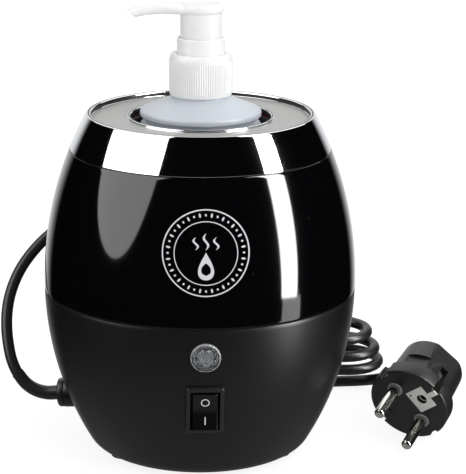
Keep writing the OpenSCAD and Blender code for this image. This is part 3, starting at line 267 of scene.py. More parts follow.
class Finishes:
    """Every finish of the object."""

    SATIN_BLACK = Finish("satin_black", (0.006, 0.006, 0.0065), 0.34, grain=1400.0, depth=0.012,
                         variation=0.06, dusty=True)
    GLOSS_BLACK = Finish("gloss_black", (0.0015, 0.0015, 0.002), 0.07, coat=0.3, grain=60.0, depth=0.006,
                         variation=0.04, dusty=True)
    CHROME = Finish("chrome_plate", (0.86, 0.87, 0.88), 0.04, metallic=1.0, far_color=(0.83, 0.84, 0.86),
                    grain=45.0, depth=0.01, variation=0.03)
    PANEL = Finish("panel_grey", (0.4, 0.4, 0.388), 0.45, far_color=(0.375, 0.375, 0.363), grain=1500.0,
                   depth=0.01, slot="chrome_plate")
    PLATE = Finish("plate_grey", (0.6, 0.59, 0.56), 0.35, metallic=0.25, grain=1200.0, depth=0.005,
                   slot="nickel")
    # A dark grey metal in place of bright aluminium: its darkness is painted shade for the deep gap between
    # bottle and bead.
    CUP_METAL = metal("cup_metal", (0.14, 0.145, 0.155), 0.34, grain=1600.0, depth=0.01)
    GASKET = Finish("gasket_rubber", (0.35, 0.05, 0.04), 0.6)
    BAND = metal("band_copper", (0.7, 0.42, 0.22), 0.35)
    FELT = Finish("felt", (0.78, 0.76, 0.68), 0.95, Texture.FIBROUS, sheen=0.3, depth=0.2)
    STEEL = metal("steel", (0.55, 0.55, 0.57), 0.32)
    FUSE = metal("fuse_metal", (0.7, 0.7, 0.66), 0.3)
    PHENOLIC = Finish("phenolic", (0.05, 0.045, 0.04), 0.5)
    RUBBER = Finish("black_rubber", (0.02, 0.02, 0.02), 0.7, grain=1200.0, depth=0.03)
    BEZEL = Finish("bezel_black", (0.014, 0.014, 0.015), 0.3, grain=1500.0, depth=0.008, dusty=True)
    ROCKER = Finish("rocker_black", (0.004, 0.004, 0.0045), 0.16, grain=1500.0, depth=0.006)
    BRASS = metal("brass_tab", (0.75, 0.55, 0.25), 0.3)
    LENS = Finish("clear_lens", (0.96, 0.98, 1.0), 0.03, ior=1.49, transmission=1.0,
                  far_color=(0.96, 0.98, 1.0), variation=0.0, grain=80.0, depth=0.004)
    LAMP_WHITE = Finish("lamp_white", (0.75, 0.75, 0.73), 0.4)
    BULB = Finish("bulb_glass", (0.95, 0.8, 0.68), 0.08, transmission=0.8)
    GLAND = Finish("gland_black", (0.012, 0.012, 0.013), 0.33)
    CORD = Finish("cord_pvc", (0.014, 0.014, 0.015), 0.34, grain=700.0, depth=0.03, dusty=True)
    TIE = Finish("tie_vinyl", (0.012, 0.012, 0.012), 0.45)
    PLUG = Finish("plug_pvc", (0.014, 0.014, 0.015), 0.36, grain=1300.0, depth=0.03, dusty=True)
    NICKEL = Finish("nickel", (0.8, 0.78, 0.73), 0.13, metallic=1.0, grain=120.0, depth=0.002)
    # A lighter grey than the plug's own PVC: painted highlight for the light that the raised rings catch.
    COLLAR = Finish("collar_grey", (0.2, 0.2, 0.2), 0.35, slot="plug_pvc")
    NYLON = Finish("nylon_white", (0.8, 0.8, 0.76), 0.45, subsurface=0.1)
    WIRE = Finish("wire_pvc", (0.3, 0.1, 0.05), 0.4)
    BOTTLE = Finish("frosted_bottle", (0.68, 0.73, 0.79), 0.42, transmission=0.2, subsurface=0.35,
                    far_color=(0.66, 0.7, 0.76), grain=500.0)
    PUMP = Finish("pump_white", (0.92, 0.92, 0.92), 0.3, subsurface=0.12, depth=0.008)
    SPRING = metal("spring_steel", (0.65, 0.65, 0.67), 0.22)
    DIP = Finish("dip_clear", (0.84, 0.9, 0.92), 0.3, transmission=0.5, subsurface=0.1)
    PRINT = Finish("silver_print", (0.72, 0.73, 0.75), 0.35, metallic=0.15, depth=0.004,
                   slot="chrome_plate")
    MARK = Finish("mark_white", (0.7, 0.7, 0.7), 0.45, slot="bezel_black")
    LAMP_RIM = Finish("lamp_rim_grey", (0.36, 0.36, 0.37), 0.2, slot="lamp_white")
    REFLECTOR = Finish("lamp_reflector", (0.2, 0.2, 0.205), 0.3, slot="lamp_white")

    @classmethod
    def by_slot(cls, slot: str) -> Finish:
        """The finish that a material slot of the record takes."""
        for value in vars(cls).values():
            if isinstance(value, Finish) and value.name == slot:
                return value
        raise KeyError(slot)


def new_object(name: str, data: bpy.types.ID) -> Obj:
    """A new object in the scene, at the origin."""
    made = bpy.data.objects.new(name, data)
    bpy.context.scene.collection.objects.link(made)
    return made


def mesh_of(name: str, bm: BM) -> bpy.types.Mesh:
    """A bmesh as mesh data. The bmesh is freed."""
    mesh = bpy.data.meshes.new(name)
    bm.to_mesh(mesh)
    bm.free()
    return mesh


def dress(piece: Obj, finish: Finish, body: Body = Body.HOUSING, sharp: float = SMOOTH_DEG,
          replaces: Sequence[str] = ()) -> Obj:
    """Shades a piece smooth, gives it its finish and seats it on its body.

    Args:
        piece: The new object.
        finish: Its finish.
        body: The body that it rides on.
        sharp: Edges that turn more than this angle in degrees stay sharp.
        replaces: CAD nodes that it stands for.

    Returns:
        The piece.
    """
    piece.data.materials.clear()
    piece.data.materials.append(finish.build())
    if piece.type == "MESH":
        piece.data.polygons.foreach_set("use_smooth", [True] * len(piece.data.polygons))
        piece.data.set_sharp_from_angle(angle=math.radians(sharp))
        piece.data.update()
    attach(piece, body.value)
    if replaces:
        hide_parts(*replaces)
    LOG.info("%s on %s", piece.name, body.value)
    return piece


def add_object(name: str, bm: BM, finish: Finish, body: Body = Body.HOUSING, sharp: float = SMOOTH_DEG,
               replaces: Sequence[str] = (), recalc: bool = True) -> Obj:
    """Turns a bmesh in millimetres into a piece in metres, dressed as dress() says.

    Args:
        name: The piece's name.
        bm: The mesh, freed here.
        finish, body, sharp, replaces: As for dress().
        recalc: Whether its normals are turned outwards.

    Returns:
        The piece.
    """
    bmesh.ops.remove_doubles(bm, verts=bm.verts, dist=MERGE_MM)
    if recalc:
        bmesh.ops.recalc_face_normals(bm, faces=bm.faces)
    bmesh.ops.scale(bm, vec=(MM, MM, MM), verts=bm.verts)
    return dress(new_object(name, mesh_of(name, bm)), finish, body, sharp, replaces)


def solid(bm: BM, name: str = "tool", place: Matrix = IDENTITY) -> Obj:
    """A bare solid in millimetres at its place, used to build or cut a piece."""
    moved(bm, place)
    bmesh.ops.recalc_face_normals(bm, faces=bm.faces)
    return new_object(name, mesh_of(name, bm))


def finish_solid(piece: Obj, finish: Finish, sharp: float, replaces: Sequence[str] = (),
                 body: Body = Body.HOUSING, place: Matrix = IDENTITY) -> Obj:
    """Moves a solid to its place, scales it to metres and dresses it."""
    piece.data.transform(place)
    piece.data.transform(Matrix.Scale(MM, 4))
    return dress(piece, finish, body, sharp, replaces)


def combine(target: Obj, tools: Iterable[Obj], operation: str = "DIFFERENCE") -> None:
    """Cuts solids out of a piece, or joins them to it, and drops them.

    Args:
        target: The piece, changed in place.
        tools: The other solids.
        operation: DIFFERENCE or UNION.
    """
    for tool in tools:
        modifier = target.modifiers.new("combine", "BOOLEAN")
        modifier.operation = operation
        modifier.solver = "EXACT"
        modifier.object = tool
        result = evaluated_mesh(target)
        target.modifiers.clear()
        old, target.data = target.data, result
        bpy.data.meshes.remove(old)
        bpy.data.objects.remove(tool)


def evaluated_mesh(piece: Obj) -> bpy.types.Mesh:
    """A piece's mesh with its modifiers or bevel applied."""
    bpy.context.view_layer.update()
    graph = bpy.context.evaluated_depsgraph_get()
    return bpy.data.meshes.new_from_object(piece.evaluated_get(graph))


def spin_by(degrees: float, axis: str) -> Matrix:
    """A turn about an axis."""
    return Matrix.Rotation(math.radians(degrees), 4, axis)


def moved(bm: BM, place: Matrix) -> BM:
    """The same bmesh, moved to its place."""
    bmesh.ops.transform(bm, matrix=place, verts=bm.verts)
    return bm


def pull(bm: BM, extruded: dict, step: Point) -> None:
    """Moves the vertices that an extrusion made."""
    new = [g for g in extruded["geom"] if isinstance(g, bmesh.types.BMVert)]
    bmesh.ops.translate(bm, vec=step, verts=new)


def bevel(bm: BM, edges: Sequence[bmesh.types.BMEdge], offset: float, segments: int) -> None:
    """Rounds edges."""
    bmesh.ops.bevel(bm, geom=edges, offset=offset, segments=segments, profile=0.5, affect="EDGES",
                    material=-1)


def block(size: Point, centre: Point, radius: float = 0.0) -> BM:
    """A box, with rounded edges where a radius is given."""
    bm = bmesh.new()
    bmesh.ops.create_cube(bm, size=1.0)
    bmesh.ops.scale(bm, vec=size, verts=bm.verts)
    if radius > 0:
        bevel(bm, bm.edges[:], radius, 3)
    bmesh.ops.translate(bm, vec=centre, verts=bm.verts)
    return bm


def rod(diameter: float, low: float, high: float, segments: int = 48,
        at: tuple[float, float] = (0.0, 0.0)) -> BM:
    """A plain rod along Z between two heights."""
    bm = bmesh.new()
    bmesh.ops.create_cone(bm, cap_ends=True, segments=segments, radius1=diameter / 2,
                          radius2=diameter / 2, depth=high - low)
    bmesh.ops.translate(bm, vec=(*at, (low + high) / 2), verts=bm.verts)
    return bm


def annulus(bm: BM, inner: float, outer: float, segments: int) -> None:
    """Adds a flat ring."""
    edges: list[bmesh.types.BMEdge] = []
    for radius in (inner, outer):
        ring = bmesh.ops.create_circle(bm, segments=segments, radius=radius)["verts"]
        edges += list({e for v in ring for e in v.link_edges})
    bmesh.ops.bridge_loops(bm, edges=edges)


def thicken(bm: BM, outwards: Vector, thickness: float, place: Matrix = IDENTITY) -> None:
    """Turns a flat print's faces outwards, moves it to its place and gives it its thickness."""
    bmesh.ops.recalc_face_normals(bm, faces=bm.faces)
    for face in bm.faces:
        if face.normal.dot(outwards) < 0:
            face.normal_flip()
    bmesh.ops.solidify(moved(bm, place), geom=bm.faces[:], thickness=thickness)


def rounded(corners: Sequence[Corner], steps: int = 5, closed: bool = True) -> Profile:
    """Rounds the corners of an outline with true arcs.

    Args:
        corners: The outline's corners.
        steps: Segments of each arc.
        closed: Whether the outline is a loop.

    Returns:
        The outline's points.
    """
    out: Profile = []
    for i, corner in enumerate(corners):
        here, radius = Vector(corner[:2]), corner[2] if len(corner) > 2 else 0.0
        back = Vector(corners[i - 1][:2]) - here
        ahead = Vector(corners[(i + 1) % len(corners)][:2]) - here
        plain = radius <= 0 or (not closed and i in (0, len(corners) - 1))
        half = 0.0 if plain else back.angle(ahead) / 2
        if plain or half > FLAT_CORNER:
            out.append(corner[:2])
            continue
        reach = min(radius / math.tan(half), 0.49 * back.length, 0.49 * ahead.length)
        true_radius = reach * math.tan(half)
        middle = here + (back.normalized() + ahead.normalized()).normalized() * (
            true_radius / math.sin(half))
        start = here + back.normalized() * reach - middle
        turn = start.angle_signed(here + ahead.normalized() * reach - middle)
        for k in range(steps + 1):
            spoke = start.copy()
            spoke.rotate(Matrix.Rotation(-turn * k / steps, 2))
            out.append(tuple(middle + spoke))
    return out


def lathe(profile: Profile, around: int = 160, closed: bool = True) -> BM:
    """Spins an outline of radius and height round the Z axis.

    Args:
        profile: Points of the outline.
        around: Segments round the axis.
        closed: Whether the outline is a loop; an open one starts and ends on the axis.

    Returns:
        The solid's mesh.
    """
    bm = bmesh.new()
    verts = [bm.verts.new((r, 0.0, z)) for r, z in profile]
    edges = [bm.edges.new(pair) for pair in zip(verts, verts[1:])]
    if closed:
        edges.append(bm.edges.new((verts[-1], verts[0])))
    bmesh.ops.spin(bm, geom=verts + edges, cent=(0, 0, 0), axis=(0, 0, 1), angle=2 * math.pi,
                   steps=around, use_merge=True, use_duplicate=False)
    bmesh.ops.remove_doubles(bm, verts=bm.verts, dist=MERGE_MM)
    bmesh.ops.recalc_face_normals(bm, faces=bm.faces)
    return bm


def turned(corners: Sequence[Corner], steps: int, around: int, closed: bool = True) -> BM:
    """Rounds an outline's corners and spins it round the Z axis."""
    return lathe(rounded(corners, steps, closed), around, closed)


def loft(sections: Sequence[Section], around: int) -> BM:
    """Skins a row of oval sections.

    Args:
        sections: For each, its middle, its two unit directions, its two half sizes and the power
            that squares its corners (2 is an ellipse).
        around: Points round each section.

    Returns:
        The closed solid's mesh.
    """
    bm = bmesh.new()
    ring = bmesh.ops.create_circle(bm, segments=around, radius=1.0)["verts"]
    first, edges = list(ring), list(bm.edges)
    for index, (middle, across, up, half_w, half_h, power) in enumerate(sections):
        if index:
            old = set(ring)
            made = bmesh.ops.extrude_edge_only(bm, edges=edges)["geom"]
            edges = [g for g in made if isinstance(g, bmesh.types.BMEdge) and old.isdisjoint(g.verts)]
            new = {v for e in edges for v in e.verts}
            ring = [next(e.other_vert(v) for e in v.link_edges if e.other_vert(v) in new) for v in ring]
        for k, vert in enumerate(ring):
            angle = 2 * math.pi * k / len(ring)
            c, s = math.cos(angle), math.sin(angle)
            u = math.copysign(abs(c) ** (2 / power), c) * half_w
            v = math.copysign(abs(s) ** (2 / power), s) * half_h
            vert.co = middle + across * u + up * v
    for end in (first, ring):
        bmesh.ops.contextual_create(bm, geom=end)
    bmesh.ops.recalc_face_normals(bm, faces=bm.faces)
    return bm


def smooth_route(points: Sequence[Point], per_span: int = 5) -> list[Vector]:
    """A smooth curve through given points, with new points for each span."""
    rows = [Vector(p) for p in points]
    rows = [2 * rows[0] - rows[1], *rows, 2 * rows[-1] - rows[-2]]
    out: list[Vector] = []
    for a, b, c, d in zip(rows, rows[1:], rows[2:], rows[3:]):
        for k in range(per_span):
            t = k / per_span
            out.append(0.5 * (2 * b + (c - a) * t + (2 * a - 5 * b + 4 * c - d) * t * t
                              + (3 * b - a - 3 * c + d) * t ** 3))
    return [*out, rows[-2]]


@dataclass(frozen=True)
class BodyOutline:
    """The round body's side, an arc above and below its widest point, with a rounded bottom edge."""

    body_r: float = 68.5
    belly_z: float = 76.0
    upper_arc_r: float = 157.0
    lower_arc_r: float = 140.0
    edge_r: float = 9.0
    foot_h: float = 1.5
    rim_z: float = 151.0
    upper_joint_z: float = 135.5
    lower_joint_z: float = 74.0
    wall: float = 2.6

    def arc(self, z: float) -> float:
        """Radius of the side's arc at a height."""
        return self.upper_arc_r if z > self.belly_z else self.lower_arc_r

    def side_r(self, z: float, inset: float = 0.0) -> float:
        """Radius of the body at a height, drawn in by an inset."""
        arc = self.arc(z)
        return self.body_r - arc + math.sqrt((arc - inset) ** 2 - (z - self.belly_z) ** 2)

    def tilt(self, z: float) -> float:
        """Turn of the outward direction below the horizontal, in radians."""
        return math.asin((self.belly_z - z) / self.arc(z))

    def side(self, z0: float, z1: float, inset: float, steps: int) -> Profile:
        """Points of the side between two heights."""
        heights = [z0 + (z1 - z0) * i / steps for i in range(steps + 1)]
        return [(self.side_r(z, inset), z) for z in heights]

    def bottom_edge(self, inset: float, steps: int) -> Profile:
        """Points of the rounded bottom edge, from the floor up."""
        z = self.foot_h + self.edge_r
        reach = math.sqrt((self.lower_arc_r - self.edge_r) ** 2 - (self.belly_z - z) ** 2)
        x = self.body_r - self.lower_arc_r + reach
        top = math.atan2(z - self.belly_z, x - self.body_r + self.lower_arc_r)
        turns = [-math.pi / 2 + (top + math.pi / 2) * i / steps for i in range(steps + 1)]
        return [(x + (self.edge_r - inset) * math.cos(a), z + (self.edge_r - inset) * math.sin(a))
                for a in turns]

    def on_front(self, z: float) -> Matrix:
        """Places a flat design on the front, with its Z pointing outwards and its Y up."""
        turn = Matrix.Rotation(math.pi / 2 + self.tilt(z), 4, "X")
        return Matrix.Translation((0.0, -self.side_r(z), z)) @ turn


OUTLINE = BodyOutline()


@dataclass
class Shells:
    """The satin base, the gloss shell and the chrome ring."""

    steps: int = 224
    edge_round: float = 0.35
    seam: float = 0.12
    bezel_size: tuple[float, float] = (16.4, 22.8)
    housing_size: tuple[float, float] = (13.4, 19.8)
    switch_z: float = 37.6
    lamp_z: float = 62.0
    lamp_hole_d: float = 10.2
    lamp_seat_d: float = 12.8
    gland_turn: float = -98.0
    gland_tilt: float = 4.0
    gland_z: float = 19.8
    gland_out: float = 7.4
    gland_flange_t: float = 3.0
    gland_boss_d: float = 13.4
    gland_boss_l: float = 7.0
    gland_hole_d: float = 9.5
    lip_w: float = 2.0
    panel_z: float = 148.8
    panel_t: float = 1.6
    well_r: float = 30.4
    bead_w: float = 1.5
    bead_h: float = 1.0

    def build(self) -> None:
        """Makes the three shells."""
        self.base()
        self.upper()
        self.ring()

    def at_gland(self) -> Matrix:
        """Places a piece at the gland's outer face, with Z along the leaving cord."""
        reach = OUTLINE.side_r(self.gland_z) + self.gland_out
        return (spin_by(self.gland_turn, "Z") @ Matrix.Translation((0.0, -reach, self.gland_z))
                @ spin_by(90 + self.gland_tilt, "X"))

    def base(self) -> None:
        """Makes the satin base with the seats of switch, lamp and gland."""
        o = OUTLINE
        top = o.lower_joint_z - self.seam / 2
        foot, inner_foot = o.bottom_edge(0.0, 14), o.bottom_edge(o.wall, 10)
        r = o.side_r(top)
        outline = (foot + o.side(foot[-1][1], top - self.edge_round, 0.0, 44)[1:]
                   + [(r - 0.1, top - 0.1), (r - self.edge_round, top), (r - o.wall, top)]
                   + o.side(top - 1.0, inner_foot[-1][1], o.wall, 20) + inner_foot[::-1][1:])
        piece = solid(lathe(outline, self.steps), "satin_base")
        half = self.gland_boss_l / 2
        boss = rod(self.gland_boss_d, -half, half, 64)
        bevel(boss, [e for e in boss.edges if len(e.link_faces) == 2 and e.calc_face_angle(0) > 1], 0.5, 3)
        back = Matrix.Translation((0, 0, -self.gland_flange_t - half))
        combine(piece, [solid(boss, place=self.at_gland() @ back)], "UNION")
        front, lamp = o.on_front(self.switch_z), o.on_front(self.lamp_z)
        combine(piece, [solid(block((*self.bezel_size, 6.0), (0, 0, 2.1)), place=front),
                        solid(block((*self.housing_size, 12.0), (0, 0, -2.0)), place=front),
                        solid(rod(self.lamp_seat_d, -0.4, 6.0, 72), place=lamp),
                        solid(rod(self.lamp_hole_d, -8.0, 4.0, 72), place=lamp),
                        solid(rod(self.gland_hole_d, -20.0, 2.0, 72), place=self.at_gland())])
        finish_solid(piece, Finishes.SATIN_BLACK, 30.0, ["base_shell"])

    def upper(self) -> None:
        """Makes the gloss shell."""
        o, edge = OUTLINE, self.edge_round
        low, high = o.lower_joint_z + self.seam / 2, o.upper_joint_z - self.seam / 2
        low_r, top_r = o.side_r(low), o.side_r(high)
        profile = ([(low_r - o.wall, low), (low_r - edge, low), (low_r - 0.1, low + 0.1)]
                   + o.side(low + edge, high - edge, 0.0, 60)
                   + [(top_r - 0.1, high - 0.1), (top_r - edge, high), (top_r - o.wall, high)]
                   + o.side(high - 1.0, low + 1.0, o.wall, 24))
        add_object("gloss_shell", lathe(profile, self.steps), Finishes.GLOSS_BLACK, sharp=32.0,
                   replaces=["upper_shell"])

    def ring(self) -> None:
        """Makes the chrome ring with its lip, bead and flat panel, and beside them dark bands that are painted
        shade on the lip's inner wall and the bead's inner edge.
        """
        o, well = OUTLINE, self.well_r
        low, rim = o.upper_joint_z + self.seam / 2, o.rim_z
        low_r, rim_r = o.side_r(low), o.side_r(rim)
        lip, bead = rim_r - self.lip_w, well + self.bead_w
        panel, under = self.panel_z, self.panel_z - self.panel_t
        crest = panel + self.bead_h
        ring = [(low_r - o.wall, low), (low_r - 0.25, low), *o.side(low + 0.3, rim - 0.9, 0.0, 20),
                (rim_r, rim, 0.8), (lip, rim, 0.7), (lip, panel, 0.5), (bead, panel, 0.3),
                (bead, crest, 0.55), (well, crest, 0.55), (well, under, 0.2), (rim_r - 4.0, under, 0.5),
                *o.side(under - 2.0, low + 1.0, o.wall, 6)]
        add_object("chrome_ring", turned(ring, 5, 288), Finishes.CHROME, replaces=["top_ring"])
        top = panel + 0.06
        face = [(bead + 0.25, top - 0.3), (lip - 0.3, top - 0.3), (lip - 0.3, top, 0.05),
                (bead + 0.25, top, 0.05)]
        add_object("panel_face", turned(face, 2, 192), Finishes.PANEL)
        # A dark band over the lip's inner wall and inner edge: painted shade, not a part of the ring.
        shade_band = [(lip - 0.08, top - 0.2), (lip + 0.4, top - 0.2), (lip + 1.5, rim + 0.03, 0.1),
                 (lip + 0.75, rim + 0.03, 0.3), (lip - 0.08, rim - 0.6, 0.5)]
        add_object("lip_liner", turned(shade_band, 4, 192), Finishes.GLAND)
        # A dark band over the bead's inner edge and the top of its inner wall: painted shade of the gap round
        # the bottle.
        shade_band = [(well - 0.06, crest - 1.4), (well + 0.3, crest - 1.4), (well + 1.0, crest - 0.3),
                 (well + 1.0, crest + 0.04, 0.1), (well + 0.5, crest + 0.04, 0.3),
                 (well - 0.06, crest - 0.5, 0.4)]
        add_object("well_liner", turned(shade_band, 4, 192), Finishes.GLAND)


@dataclass
class Badge:
    """The silver print on the gloss shell: rings, ticks and a drop with rising steam."""

    centre_z: float = 106.0
    outer_r: float = 18.0
    line: float = 0.55
    inner_r: float = 13.2
    ticks: int = 40
    tick_r: float = 0.62
    drop_r: float = 4.6
    lift: float = 0.03
    thickness: float = 0.05
    strokes: tuple[tuple[float, float], ...] = ((-4.2, 5.0), (0.0, 6.6), (4.2, 5.0))

    def build(self) -> None:
        """Makes the print and lays it on the shell."""
        bm = bmesh.new()
        annulus(bm, self.outer_r - self.line, self.outer_r, 128)
        annulus(bm, self.inner_r - self.line * 0.7, self.inner_r, 128)
        for i in range(self.ticks):
            self.tick(bm, 2 * math.pi * i / self.ticks, self.tick_r * (1.5 if i % 2 else 0.8))
        self.drop(bm)
        for shift, length in self.strokes:
            self.steam(bm, shift, 1.6, length)
        self.lay_on_body(bm)
        thicken(bm, Vector((0, -1, 0)), self.thickness)
        add_object("printed_badge", bm, Finishes.PRINT, sharp=32.0, recalc=False)

    def disc(self, bm: BM, segments: int, rings: int) -> list[bmesh.types.BMVert]:
        """Adds a flat disc of radius 1 with rings of faces, so that it can follow the curved shell."""
        before = set(bm.verts)
        bmesh.ops.create_circle(bm, cap_ends=True, segments=segments, radius=1.0)
        face = max((f for f in bm.faces if before.isdisjoint(f.verts)), key=lambda f: len(f.verts))
        for _ in range(rings):
            bmesh.ops.inset_region(bm, faces=[face], thickness=1.0 / (rings + 1))
        return [v for v in bm.verts if v not in before]

    def tick(self, bm: BM, angle: float, length: float) -> None:
        """Adds a small oval between the rings that points outwards."""
        verts = self.disc(bm, 16, 0)
        bmesh.ops.scale(bm, vec=(0.42, length, 1.0), verts=verts)
        bmesh.ops.translate(bm, vec=(0, (self.outer_r + self.inner_r) / 2, 0), verts=verts)
        bmesh.ops.rotate(bm, cent=(0, 0, 0), matrix=Matrix.Rotation(angle, 3, "Z"), verts=verts)

    def drop(self, bm: BM) -> None:
        """Adds the drop under the steam."""
        for vert in self.disc(bm, 48, 5):
            radius = vert.co.length
            turn = math.atan2(vert.co.x, vert.co.y)
            pinch = abs(math.sin(turn / 2)) ** 1.35
            vert.co.x = self.drop_r * radius * math.sin(turn) * pinch
            vert.co.y = self.drop_r * 1.25 * radius * math.cos(turn) - 5.2

    def steam(self, bm: BM, shift: float, foot: float, length: float) -> None:
        """Adds one wavy stroke of steam."""
        for vert in bmesh.ops.create_grid(bm, x_segments=1, y_segments=22, size=0.5)["verts"]:
            t = vert.co.y + 0.5
            width = 1.1 * math.sin(math.pi * (0.08 + 0.84 * t))
            vert.co.x = shift + vert.co.x * width + 0.9 * math.sin(2 * math.pi * t)
            vert.co.y = foot + t * length

    def lay_on_body(self, bm: BM) -> None:
        """Bends the flat print round the shell."""
        tilt = OUTLINE.tilt(self.centre_z)
        for vert in bm.verts:
            z = self.centre_z + vert.co.y * math.cos(tilt)
            radius = OUTLINE.side_r(z) + self.lift + self.thickness / 2
            vert.co = Vector((vert.co.x, -math.sqrt(radius ** 2 - vert.co.x ** 2), z))


@dataclass
class Switch:
    """The rocker switch in its bezel."""

    centre_z: float = 37.6
    bezel: tuple[float, float] = (16.0, 22.4)
    bezel_seat: float = 0.9
    bezel_t: float = 2.2
    slot: tuple[float, float] = (11.0, 18.2)
    depth: float = 14.5
    housing: tuple[float, float] = (13.0, 19.4)
    rocker_w: float = 10.5
    rocker_l: float = 16.8
    pivot_z: float = -0.5
    half_swing: float = 10.0
    mark_y: float = 4.2
    mark_lift: float = 0.02
    mark_t: float = 0.05
    ring_radii: tuple[float, float] = (1.42, 1.8)
    bar_size: tuple[float, float] = (0.42, 3.4)

    def build(self) -> None:
        """Makes the bezel, the rocker and its marks."""
        self.make_bezel()
        self.make_rocker()
        self.make_marks()

    def make_bezel(self) -> None:
        """Makes the bezel with sloped bars and the housing behind it."""
        bm = block((*self.bezel, self.bezel_t), (0, 0, self.bezel_t / 2 - self.bezel_seat))
        bevel(bm, [e for e in bm.edges if abs(e.verts[0].co.z - e.verts[1].co.z) > 1], 1.1, 5)
        bevel(bm, max(bm.faces, key=lambda f: f.calc_center_median().z).edges[:], 0.55, 4)
        front = solid(bm, "bezel")
        back = block((*self.housing, self.depth), (0, 0, -self.depth / 2 - 0.4), 0.3)
        combine(front, [solid(back)], "UNION")
        tall = self.depth + 1.0
        slot = block((*self.slot, tall), (0, 0, tall / 2 - self.depth + 3.0))
        bmesh.ops.scale(slot, vec=(1.16, 1.08, 1.0), verts=[v for v in slot.verts if v.co.z > 0])
        combine(front, [solid(slot)])
        finish_solid(front, Finishes.BEZEL, 35.0, ["switch_housing"], place=OUTLINE.on_front(self.centre_z))

    def rocker_place(self) -> Matrix:
        """Places the rocker at its pivot, pressed at its upper end."""
        return (OUTLINE.on_front(self.centre_z) @ Matrix.Translation((0, 0, self.pivot_z))
                @ spin_by(-self.half_swing, "X"))

    def face_height(self, y: float) -> float:
        """Height of the rocker's dished face at a distance from its middle."""
        return 2.35 + 1.25 * (abs(y) / (self.rocker_l / 2)) ** 1.5

    def make_rocker(self) -> None:
        """Makes the rocker with its dished face and rounded edges."""
        half, rows = self.rocker_l / 2, 24
        face_ys = [half * (2 * i / rows - 1) for i in range(rows + 1)]
        outline = [(y, self.face_height(y)) for y in face_ys]
        outline += [(half - 0.3, 1.0), (half - 1.0, -2.2), (2.4, -5.6), (-2.4, -5.6), (1.0 - half, -2.2),
                    (0.3 - half, 1.0)]
        bm = bmesh.new()
        face = bm.faces.new([bm.verts.new((-self.rocker_w / 2, y, z)) for y, z in outline])
        pull(bm, bmesh.ops.extrude_face_region(bm, geom=[face]), (self.rocker_w, 0, 0))
        bmesh.ops.recalc_face_normals(bm, faces=bm.faces)
        bevel(bm, [e for e in bm.edges if e.calc_face_angle(0) > math.radians(40)
                   and min(v.co.z for v in e.verts) > 0.9], 0.45, 4)
        add_object("rocker_face", moved(bm, self.rocker_place()), Finishes.ROCKER, Body.ROCKER,
                   replaces=["switch_rocker"])

    def make_marks(self) -> None:
        """Prints the ring and the stroke on the rocker."""
        bm = bmesh.new()
        annulus(bm, *self.ring_radii, 40)
        bmesh.ops.translate(bm, vec=(0, self.mark_y, 0), verts=bm.verts)
        bar = bmesh.ops.create_grid(bm, x_segments=1, y_segments=6, size=0.5)["verts"]
        bmesh.ops.scale(bm, vec=(*self.bar_size, 1.0), verts=bar)
        bmesh.ops.translate(bm, vec=(0, -self.mark_y, 0), verts=bar)
        for vert in bm.verts:
            vert.co.z = self.face_height(vert.co.y) + self.mark_lift
        thicken(bm, Vector((0, 0, 1)), self.mark_t, self.rocker_place())
        add_object("rocker_marks", bm, Finishes.MARK, Body.ROCKER, 32.0, recalc=False)


@dataclass
class Lamp:
    """The pilot lamp: a clear dome in a grey rim, over a grey reflector with six notches."""

    centre_z: float = 62.0
    dome_d: float = 12.4
    barrel_d: float = 10.0
    seat: float = 0.4
    dome_h: float = 2.2
    wall: float = 0.8
    notches: int = 6

    def build(self) -> None:
        """Makes the dome, the reflector and the rim."""
        r, barrel, top = self.dome_d / 2, self.barrel_d / 2, self.dome_h
        inner = barrel - self.wall
        place = OUTLINE.on_front(self.centre_z)
        dome = [(barrel, -3.2), (barrel, -self.seat), (r, -self.seat, 0.1), (r, 0.75, 0.5),
                (r - 1.5, 1.5, 0.8), (r - 4.0, top, 2.0), (0.0, top), (0.0, 1.2), (inner - 1.0, 1.2, 0.4),
                (inner, 0.4, 0.4), (inner, -3.2)]
        add_object("clear_dome", moved(turned(dome, 6, 96), place), Finishes.LENS, sharp=50.0,
                   replaces=["lamp_lens"])
        add_object("lamp_reflector", moved(self.reflector(inner - 0.1), place), Finishes.REFLECTOR)
        rim = [(r - 0.15, -0.3), (r + 0.12, -0.3), (r + 0.12, 0.45, 0.2), (r - 0.5, 0.95, 0.2), (r - 0.6, 0.8)]
        add_object("lamp_rim", moved(turned(rim, 3, 96), place), Finishes.LAMP_RIM)

    def reflector(self, radius: float) -> BM:
        """The notched disc under the dome."""
        bm = bmesh.new()
        for vert in bmesh.ops.create_circle(bm, cap_ends=True, segments=72, radius=radius)["verts"]:
            angle = math.atan2(vert.co.y, vert.co.x)
            shrink = 1 - 0.26 * max(0.0, math.cos(self.notches * angle)) ** 6
            vert.co.x *= shrink
            vert.co.y *= shrink
        bmesh.ops.translate(bm, vec=(0, 0, -1.2), verts=bm.verts)
        made = bmesh.ops.extrude_face_region(bm, geom=bm.faces[:])
        pull(bm, made, (0, 0, 1.9))
        cap = next(g for g in made["geom"] if isinstance(g, bmesh.types.BMFace))
        bmesh.ops.inset_region(bm, faces=[cap], thickness=0.9, depth=-0.35)
        return bm


